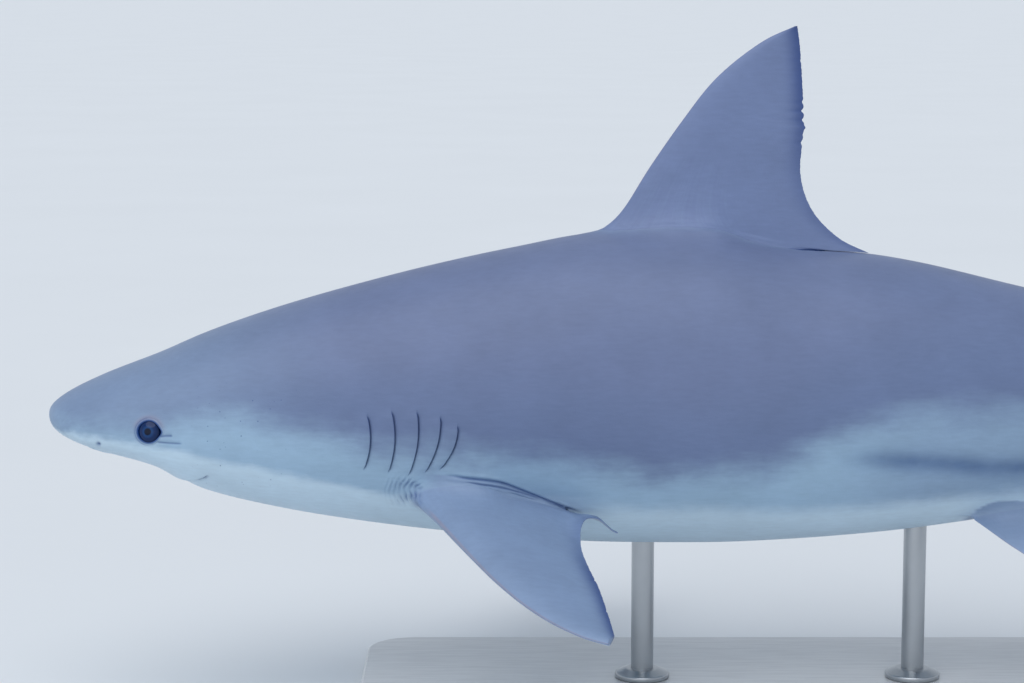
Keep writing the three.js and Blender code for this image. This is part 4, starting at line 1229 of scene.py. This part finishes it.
def fine_grain():
    """Group: a bump of fine grain over a coarser, softer one."""

    def fill(group, given):
        fine = noise(group, given["Position"], given["Grain Scale"], 2.0)
        wide = noise(group, given["Position"], times(group, given["Grain Scale"], 0.12), 3.0)
        fine = calc(group, "ADD", fine, given["Extra Height"])
        height = calc(group, "MULTIPLY_ADD", wide, given["Coarse Share"], fine)
        made = add(
            group, "ShaderNodeBump", Strength=given["Strength"], Distance=given["Depth"], Height=height,
        )
        return made.outputs["Normal"]

    inputs = (
        ("Position", "NodeSocketVector", None), ("Grain Scale", "NodeSocketFloat", 700.0),
        ("Coarse Share", "NodeSocketFloat", 0.5), ("Strength", "NodeSocketFloat", 0.2),
        ("Depth", "NodeSocketFloat", 0.0004), ("Extra Height", "NodeSocketFloat", 0.0),
    )
    return group_of("Fine grain", inputs, ("Normal", "NodeSocketVector"), fill)


def use_group(tree, group, **inputs):
    return add(tree, "ShaderNodeGroup", {"node_tree": group}, **inputs).outputs[0]


def new_material(name, **settings):
    """A material with one shader; the settings are its constant values."""
    material = bpy.data.materials.new(name)
    material.use_nodes = True
    tree = material.node_tree
    shader = tree.nodes["Principled BSDF"]
    for label, value in settings.items():
        shader.inputs[label.replace("_", " ")].default_value = value
    return material, tree, shader


def feed(tree, shader, **links):
    for label, socket in links.items():
        tree.links.new(socket, shader.inputs[label.replace("_", " ")])


def body_colour(tree, colours, laid, streaks):
    """The grey back, the pale flank and the white belly, with ragged edges between them."""
    levels, place = split(tree, stored(tree, "levels", "Vector")), split(tree, laid)
    cloud = calc(tree, "SUBTRACT", noise(tree, laid, 9.0, 5.0, 0.6), 0.5)
    ragged = calc(tree, "SUBTRACT", noise(tree, streaks, 38.0, 5.0, 0.62), 0.5)
    wander = calc(tree, "MULTIPLY_ADD", ragged, 1.6, times(tree, cloud, 2.2))
    above_grey = calc(tree, "ADD", levels["X"], wander)
    colour = blend(tree, ramp(tree, above_grey, -1.5, 1.1), colours.flank, colours.side)
    colour = blend(tree, ramp(tree, above_grey, 0.6, 5.5), colour, colours.back)
    colour = blend(tree, ramp(tree, place["X"], 0.40, 0.10, 0.0, 0.28), colour, colours.flank)
    colour = blend(tree, ramp(tree, place["X"], 0.92, 1.08, 0.0, 0.36), colour, colours.side)
    band = times(tree, levels["Z"], calc(tree, "MULTIPLY_ADD", cloud, 1.2, 0.80))
    colour = blend(tree, band, colour, colours.flank_band)
    above_white = calc(tree, "ADD", calc(tree, "ADD", levels["Y"], times(tree, wander, 0.45)), 0.1)
    crisp = ramp(tree, place["X"], 0.30, 0.75, 0.45, 1.0)
    above_white = calc(tree, "DIVIDE", above_white, crisp)
    return blend(tree, ramp(tree, above_white, -0.65, 0.65), colours.belly, colour)


def fin_colour(tree, colours, tone, out, share):
    """The fins' grey, with a pale underside, faint rays and a painted highlight along the leading edge."""
    colour = blend(tree, ramp(tree, tone, 0.01, 0.07), colours.fin, colours.fin_underside)
    upper = times(tree, ramp(tree, tone, -0.15, -0.08), ramp(tree, tone, 0.07, 0.01, 0.0, 0.35))
    colour = blend(tree, upper, colour, colours.flank)
    rays = noise(tree, flat_place(tree, times(tree, share, 20.0), times(tree, out, 5.0)), 3.0, 4.0, 0.6)
    rays = calc(tree, "SUBTRACT", rays, 0.5)
    low_front = times(tree, ramp(tree, out, 0.13, 0.04), ramp(tree, share, 0.75, 0.35), 0.30)
    colour = blend(tree, calc(tree, "MULTIPLY_ADD", rays, low_front, 0.03), colour, colours.flank)
    # Painted highlight: a thin pale line along the leading edge.
    painted_edge_highlight = times(tree, ramp(tree, share, 0.005, 0.0), ramp(tree, out, 0.03, 0.06), 0.4)
    return blend(tree, painted_edge_highlight, colour, colours.blush)


def cheek_pores(tree, laid):
    """Small dark dots on the cheek."""
    place = split(tree, laid)
    pores = add(tree, "ShaderNodeTexVoronoi", Vector=laid, Scale=150.0).outputs
    chance = add(tree, "ShaderNodeSeparateColor", Color=pores["Color"]).outputs[0]
    rare = calc(tree, "GREATER_THAN", chance, 0.62)
    cheek = times(tree, ramp(tree, place["X"], 0.17, 0.22), ramp(tree, place["X"], 0.33, 0.26),
                  ramp(tree, place["Z"], 0.045, 0.030))
    return times(tree, ramp(tree, pores["Distance"], 0.17, 0.09), rare, cheek)


def skin_material(colours):
    material, tree, shader = new_material("Shark skin", IOR=1.42, Specular_IOR_Level=0.42)
    laid, fin = stored(tree, "laid", "Vector"), stored(tree, "fin")
    tone, out, share = (stored(tree, name) for name in ("tone", "out", "share"))
    streaks = stretched(tree, laid, 0.35, 1.0, 1.6)
    colour = body_colour(tree, colours, laid, streaks)
    colour = blend(tree, fin, colour, fin_colour(tree, colours, tone, out, share))
    edge = times(tree, stored(tree, "edge"), fin, ramp(tree, out, 0.07, 0.18, 0.35, 0.9))
    colour = blend(tree, edge, colour, colours.fin_edge)
    colour = use_group(tree, uneven_tone(), Colour=colour, Position=laid, Patch_Scale=14.0, Amount=0.07)
    colour = use_group(tree, uneven_tone(), Colour=colour, Position=streaks, Patch_Scale=160.0, Amount=0.045)
    colour = blend(tree, times(tree, stored(tree, "blush"), 0.3), colour, colours.blush)
    dots = cheek_pores(tree, laid)
    # Painted shade of the grooves, openings and folds, and the cheek pores' own dark.
    dark = calc(tree, "MAXIMUM", stored(tree, "dark"), times(tree, dots, 0.5))
    colour = blend(tree, dark, colour, colours.crease)
    normal = use_group(tree, fine_grain(), Position=laid, Grain_Scale=620.0, Coarse_Share=1.4, Strength=0.22,
                       Depth=0.0006, Extra_Height=times(tree, dots, -1.5))
    rough = calc(tree, "MULTIPLY_ADD", noise(tree, laid, 45.0, 3.0), 0.16, 0.36)
    feed(tree, shader, Base_Color=colour, Roughness=rough, Normal=normal)
    return material


def eye_material(colours):
    material, tree, shader = new_material("Shark eye", Roughness=0.08, IOR=1.33)
    ring, around = stored(tree, "ring"), stored(tree, "around")
    rays = noise(tree, flat_place(tree, times(tree, around, 9.0), times(tree, ring, 1.5)), 4.0, 3.0)
    iris = blend(tree, rays, colours.iris, colours.eye_rim)
    colour = blend(tree, ramp(tree, ring, 0.24, 0.32), colours.pupil, iris)
    colour = blend(tree, ramp(tree, ring, 0.36, 0.58), colour, colours.eye_rim)
    colour = blend(tree, ramp(tree, ring, 0.66, 0.90, 0.0, 0.6), colour, colours.pupil)
    feed(tree, shader, Base_Color=colour)
    return material


def lacquer_material(colours):
    material, tree, shader = new_material(
        "Base lacquer", Roughness=0.38, Coat_Weight=0.25, Coat_Roughness=0.2,
    )
    place = object_place(tree)
    grain_at = stretched(tree, place, 0.9, 9.0, 9.0)
    grain = ramp(tree, noise(tree, grain_at, 14.0, 5.0, 0.6), 0.35, 0.7)
    colour = blend(tree, grain, colours.base, colours.base_grain)
    colour = use_group(tree, uneven_tone(), Colour=colour, Position=place, Patch_Scale=3.0, Amount=0.04)
    normal = use_group(tree, fine_grain(), Position=grain_at, Grain_Scale=90.0, Coarse_Share=0.8,
                       Strength=0.08, Depth=0.0004)
    feed(tree, shader, Base_Color=colour, Normal=normal)
    return material


def steel_material(colours):
    material, tree, shader = new_material("Brushed steel", Metallic=1.0)
    place = object_place(tree)
    lines_at = stretched(tree, place, 18.0, 18.0, 1.0)
    colour = use_group(tree, uneven_tone(), Colour=rgba(colours.steel), Position=place, Patch_Scale=20.0,
                       Amount=0.04)
    rough = calc(tree, "MULTIPLY_ADD", noise(tree, lines_at, 60.0, 4.0, 0.6), 0.22, 0.22)
    normal = use_group(tree, fine_grain(), Position=lines_at, Grain_Scale=90.0, Coarse_Share=0.3,
                       Strength=0.12, Depth=0.0003)
    feed(tree, shader, Base_Color=colour, Roughness=rough, Normal=normal)
    return material


def floor_material(colours):
    material, tree, shader = new_material("Studio floor", Roughness=0.85, Specular_IOR_Level=0.2)
    colour = use_group(tree, uneven_tone(), Colour=rgba(colours.floor), Position=object_place(tree),
                       Patch_Scale=1.2, Amount=0.012)
    feed(tree, shader, Base_Color=colour)
    return material


def soft_world(colours):
    """Even light from all round, palest at the horizon."""
    world = bpy.data.worlds.new("Soft studio")
    world.use_nodes = True
    tree = world.node_tree
    height = split(tree, add(tree, "ShaderNodeTexCoord").outputs["Generated"])["Z"]
    colour = blend(tree, ramp(tree, height, 0.02, 0.6), colours.horizon, colours.sky)
    feed(tree, tree.nodes["Background"], Color=colour)
    return world


# ---------------------------------------------------------------- sizes and colours


def colour_setting(label, description, value):
    return FloatVectorProperty(
        name=label, description=description, subtype="COLOR", size=3, min=0, max=1, default=srgb(*value),
    )


class SharkSizes(bpy.types.PropertyGroup):
    total_length: FloatProperty(
        name="Total Length", description="Length of the straightened shark from snout to tail tip",
        default=2.3, min=0.5, max=4.0, unit="LENGTH",
    )
    clearance: FloatProperty(
        name="Belly Height", description="Height of the belly's lowest point over the ground",
        default=BELLY_HEIGHT, min=0.1, max=1.0, unit="LENGTH",
    )
    points_around: IntProperty(
        name="Points Around", description="Points in each ring of the body's skin",
        default=288, min=64, max=512,
    )


class SharkColours(bpy.types.PropertyGroup):
    back: colour_setting("Back", "Grey of the back", (106, 119, 153))
    side: colour_setting("Side", "Grey of the upper flank", (103, 119, 154))
    flank: colour_setting("Flank", "Pale tone between the grey and the white", (150, 178, 202))
    flank_band: colour_setting("Flank Band", "Dark band on the rear flank", (80, 108, 148))
    belly: colour_setting("Belly", "White of the belly", (188, 210, 226))
    fin: colour_setting("Fins", "Grey of the fins", (112, 127, 165))
    fin_underside: colour_setting("Fin Underside", "Pale underside of the paired fins", (186, 200, 214))
    fin_edge: colour_setting("Fin Edge", "Dusky rear edges of the fins", (56, 78, 132))
    # Colour of the painted shade in the grooves, openings and folds, and of the cheek pores.
    crease: colour_setting("Crease", "Dark of the gill slits, mouth and folds", (24, 66, 130))
    # Also the colour of the painted highlight along the fins' leading edges.
    blush: colour_setting("Blush", "Warm rim round the eye", (158, 140, 156))
    pupil: colour_setting("Pupil", "Black of the eye", (5, 16, 40))
    iris: colour_setting("Iris", "Ring round the pupil", (30, 74, 128))
    eye_rim: colour_setting("Eye Rim", "Outer part of the eye", (12, 40, 86))
    base: colour_setting("Base", "Lacquer of the base", (206, 208, 210))
    base_grain: colour_setting("Base Grain", "Grain in the base's lacquer", (194, 196, 199))
    steel: colour_setting("Steel", "Brushed steel of the rods", (176, 180, 184))
    floor: colour_setting("Floor", "Studio floor", (226, 229, 232))
    horizon: colour_setting("Horizon", "Studio light from the sides", (214, 221, 230))
    sky: colour_setting("Ceiling", "Studio light from above", (178, 186, 196))


# ---------------------------------------------------------------- pieces


def link_mesh(name, mesh, material):
    """A smooth-shaded piece in the scene."""
    piece = bpy.data.objects.new(name, mesh)
    bpy.context.scene.collection.objects.link(piece)
    mesh.materials.clear()
    mesh.materials.append(material)
    mesh.polygons.foreach_set("use_smooth", np.ones(len(mesh.polygons), bool))
    return piece


def axis_point(sizes):
    """Where the straight shark's snout tip and axis lie in the scene."""
    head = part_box("head")[0]
    return np.array([head.x - NOSE_START, 0.0, sizes.clearance + BELLY_DEPTH / 100 * sizes.total_length])


class SHARK_OT_skin(bpy.types.Operator):
    """Build the seamless skin with its fins, gill slits, mouth, nostrils and markings"""

    bl_idname = "shark.skin"
    bl_label = "Skin"
    bl_options = {"REGISTER", "UNDO"}

    def execute(self, context):
        sizes, colours = context.scene.shark_sizes, context.scene.shark_colours
        body, mesh = make_skin_mesh(sizes)
        move_to(mesh, body.bend(details(body, mesh)) + axis_point(sizes))
        mesh.attributes.remove(mesh.attributes["shell"])
        skin = link_mesh("shark_skin", mesh, skin_material(colours))
        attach(skin, "root")
        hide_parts(*FLESH_NODES)
        return {"FINISHED"}


class SHARK_OT_eyes(bpy.types.Operator):
    """Set both eyes into their openings"""

    bl_idname = "shark.eyes"
    bl_label = "Eyes"
    bl_options = {"REGISTER", "UNDO"}

    def execute(self, context):
        sizes, colours = context.scene.shark_sizes, context.scene.shark_colours
        body = Body(sizes.total_length)
        material = eye_material(colours)
        radius, deep, along, up, stands = (
            EYE[key] * body.percent for key in ("radius", "depth", "along", "up", "stands")
        )
        rise = np.linspace(0, math.pi, EYE_STEPS[0])[1:-1, None]
        turn = np.arange(EYE_STEPS[1]) / EYE_STEPS[1] * 2 * math.pi
        flat = np.sin(rise) * radius
        rings = np.stack([flat * np.cos(turn), flat * np.sin(turn), np.cos(rise) * deep + 0 * turn], axis=-1)
        for name, side in SIDES:
            facing = Vector(body.outward(along, up, side))
            seat = np.array([along, side * body.side_at(along, up), up])
            centre = seat + np.array(facing) * (stands - deep)
            mesh = lofted(f"{name}_eye", rings)
            local = coordinates(mesh)
            local[-2:, :2] = 0
            ring = np.hypot(local[:, 0], local[:, 1]) / radius
            give(mesh, "ring", np.where(local[:, 2] >= 0, ring, 1.0))
            give(mesh, "around", np.arctan2(local[:, 1], local[:, 0]))
            frame_turn = np.array(facing.to_track_quat("Z", "Y").to_matrix())
            move_to(mesh, body.bend(local @ frame_turn.T + centre) + axis_point(sizes))
            facing_out(mesh)
            eye = link_mesh(f"{name}_eye", mesh, material)
            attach(eye, "root")
            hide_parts(f"eye_{name}")
        return {"FINISHED"}


def turned(name, outline, centre):
    """A closed piece turned about an upright axis from its outline of radius and height."""
    turn = np.arange(TURNED_STEPS) / TURNED_STEPS * 2 * math.pi
    radius, height = np.array(outline).T[..., None]
    across, deep = radius * np.cos(turn) + centre[0], radius * np.sin(turn) + centre[1]
    mesh = lofted(name, np.stack([across, deep, height + 0 * turn], axis=-1))
    facing_out(mesh)
    return mesh


def eased(corners, radius, steps=5):
    """An outline with its inner corners rounded."""
    points = [corners[0]]
    for before, corner, after in zip(corners[:-2], corners[1:-1], corners[2:]):
        corner = np.array(corner, float)
        towards, away = np.array(before) - corner, np.array(after) - corner
        cut = min(radius, np.linalg.norm(towards) / 2, np.linalg.norm(away) / 2)
        start = corner + towards / np.linalg.norm(towards) * cut
        end = corner + away / np.linalg.norm(away) * cut
        for t in np.linspace(0, 1, steps):
            points.append(tuple((1 - t) ** 2 * start + 2 * t * (1 - t) * corner + t**2 * end))
    return points + [corners[-1]]


class SHARK_OT_rods(bpy.types.Operator):
    """Turn the two upright rods and the collars at their feet"""

    bl_idname = "shark.rods"
    bl_label = "Rods and Collars"
    bl_options = {"REGISTER", "UNDO"}

    def execute(self, context):
        material = steel_material(context.scene.shark_colours)
        for name in ("front", "rear"):
            for part in ("rod", "collar"):
                node = f"stand_{part}_{name}"
                low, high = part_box(node)
                radius, centre = (high.x - low.x) / 2, (low + high) / 2
                ease = STEEL_EASE[part]
                corners = [(HAIRLINE, low.z), (radius, low.z), (radius, high.z), (HAIRLINE, high.z)]
                if part == "collar":
                    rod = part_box(f"stand_rod_{name}")
                    bore = (rod[1].x - rod[0].x) / 2 + HAIRLINE
                    lip = low.z + 0.55 * (high.z - low.z)
                    corners = [(bore, low.z), (radius, low.z), (radius, lip), (radius - 0.004, lip + 0.0015),
                               (bore + 0.006, high.z), (bore, high.z)]
                label = f"{name}_{part}"
                piece = link_mesh(label, turned(label, eased(corners, ease), centre), material)
                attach(piece, "root")
                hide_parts(node)
        return {"FINISHED"}


class SHARK_OT_base(bpy.types.Operator):
    """Shape the flat base with its rounded corners and eased edges"""

    bl_idname = "shark.base"
    bl_label = "Base"
    bl_options = {"REGISTER", "UNDO"}

    def execute(self, context):
        low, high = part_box("stand_base")
        corner, bevel = BASE["corner"], BASE["bevel"]
        middle, half = (low + high) / 2, (high - low) / 2
        bends = np.linspace(0, math.pi / 2, 7)
        edge = [(bevel * (1 - math.sin(a)), low.z + bevel * (1 - math.cos(a))) for a in bends]
        edge += [(inset, high.z - (z - low.z)) for inset, z in reversed(edge)]
        turns = np.linspace(0, math.pi / 2, 13)
        signs = ((1, 1), (-1, 1), (-1, -1), (1, -1))
        rings = [
            [
                (middle.x + x * (half.x - corner) + (corner - inset) * math.cos(a),
                 middle.y + y * (half.y - corner) + (corner - inset) * math.sin(a), z)
                for quarter, (x, y) in enumerate(signs)
                for a in turns + quarter * math.pi / 2
            ]
            for inset, z in [(corner - MM, low.z), *edge, (corner - MM, high.z)]
        ]
        mesh = lofted("base", np.array(rings))
        facing_out(mesh)
        base = link_mesh("base", mesh, lacquer_material(context.scene.shark_colours))
        base.modifiers.new("edge shading", "WEIGHTED_NORMAL")
        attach(base, "root")
        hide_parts("stand_base")
        return {"FINISHED"}


class SHARK_OT_stage(bpy.types.Operator):
    """Set the pale floor, the soft lights and the camera"""

    bl_idname = "shark.stage"
    bl_label = "Stage"
    bl_options = {"REGISTER", "UNDO"}

    def execute(self, context):
        scene = context.scene
        colours = scene.shark_colours
        corners = [(x * FLOOR_REACH, y * FLOOR_REACH, 0) for x, y in ((-1, -1), (1, -1), (1, 1), (-1, 1))]
        ground = mesh_from("floor", corners, [np.array([[0, 1, 2, 3]])])
        floor = link_mesh("floor", ground, floor_material(colours))
        scene.world = soft_world(colours)
        for name, towards, spread, power in LIGHTS:
            light = bpy.data.lights.new(name, "SUN")
            light.angle, light.energy = math.radians(spread), power
            lamp = bpy.data.objects.new(name, light)
            lamp.location = -3 * Vector(towards).normalized()
            lamp.rotation_euler = Vector(towards).to_track_quat("-Z", "Y").to_euler()
            scene.collection.objects.link(lamp)
        camera = bpy.data.objects.new("camera", bpy.data.cameras.new("camera"))
        camera.data.sensor_width, camera.data.lens = 36.0, CAMERA["lens"]
        camera.data.clip_start, camera.data.clip_end = CAMERA["sees"]
        rise = math.radians(CAMERA["elevation"])
        back = Vector((0, -math.cos(rise), math.sin(rise)))
        aim = Vector(axis_point(scene.shark_sizes))
        aim += Vector((CAMERA["behind_snout"], 0, CAMERA["above_axis"]))
        camera.location = aim + back * CAMERA["distance"]
        camera.rotation_euler = (-back).to_track_quat("-Z", "Y").to_euler()
        scene.collection.objects.link(camera)
        scene.camera = camera
        scene.view_settings.view_transform = "Standard"
        return {"FINISHED"}


class SHARK_PT_panel(bpy.types.Panel):
    """Sizes, colours and the pieces to build"""

    bl_idname = "SHARK_PT_panel"
    bl_label = "Bull Shark Display Model"
    bl_space_type = "VIEW_3D"
    bl_region_type = "UI"
    bl_category = "Shark"

    def draw(self, context):
        layout = self.layout
        for group in (context.scene.shark_sizes, context.scene.shark_colours):
            column = layout.column(align=True)
            for name in group.__annotations__:
                column.prop(group, name)
        for operator in OPERATORS:
            layout.operator(operator.bl_idname)


OPERATORS = (SHARK_OT_skin, SHARK_OT_eyes, SHARK_OT_rods, SHARK_OT_base, SHARK_OT_stage)
CLASSES = (SharkSizes, SharkColours, *OPERATORS, SHARK_PT_panel)


def register():
    for cls in CLASSES:
        bpy.utils.register_class(cls)
    bpy.types.Scene.shark_sizes = PointerProperty(type=SharkSizes)
    bpy.types.Scene.shark_colours = PointerProperty(type=SharkColours)


def unregister():
    del bpy.types.Scene.shark_colours
    del bpy.types.Scene.shark_sizes
    for cls in reversed(CLASSES):
        bpy.utils.unregister_class(cls)


def main():
    register()
    bpy.ops.shark.skin()
    bpy.ops.shark.eyes()
    bpy.ops.shark.rods()
    bpy.ops.shark.base()
    bpy.ops.shark.stage()


if __name__ == "__main__":
    main()
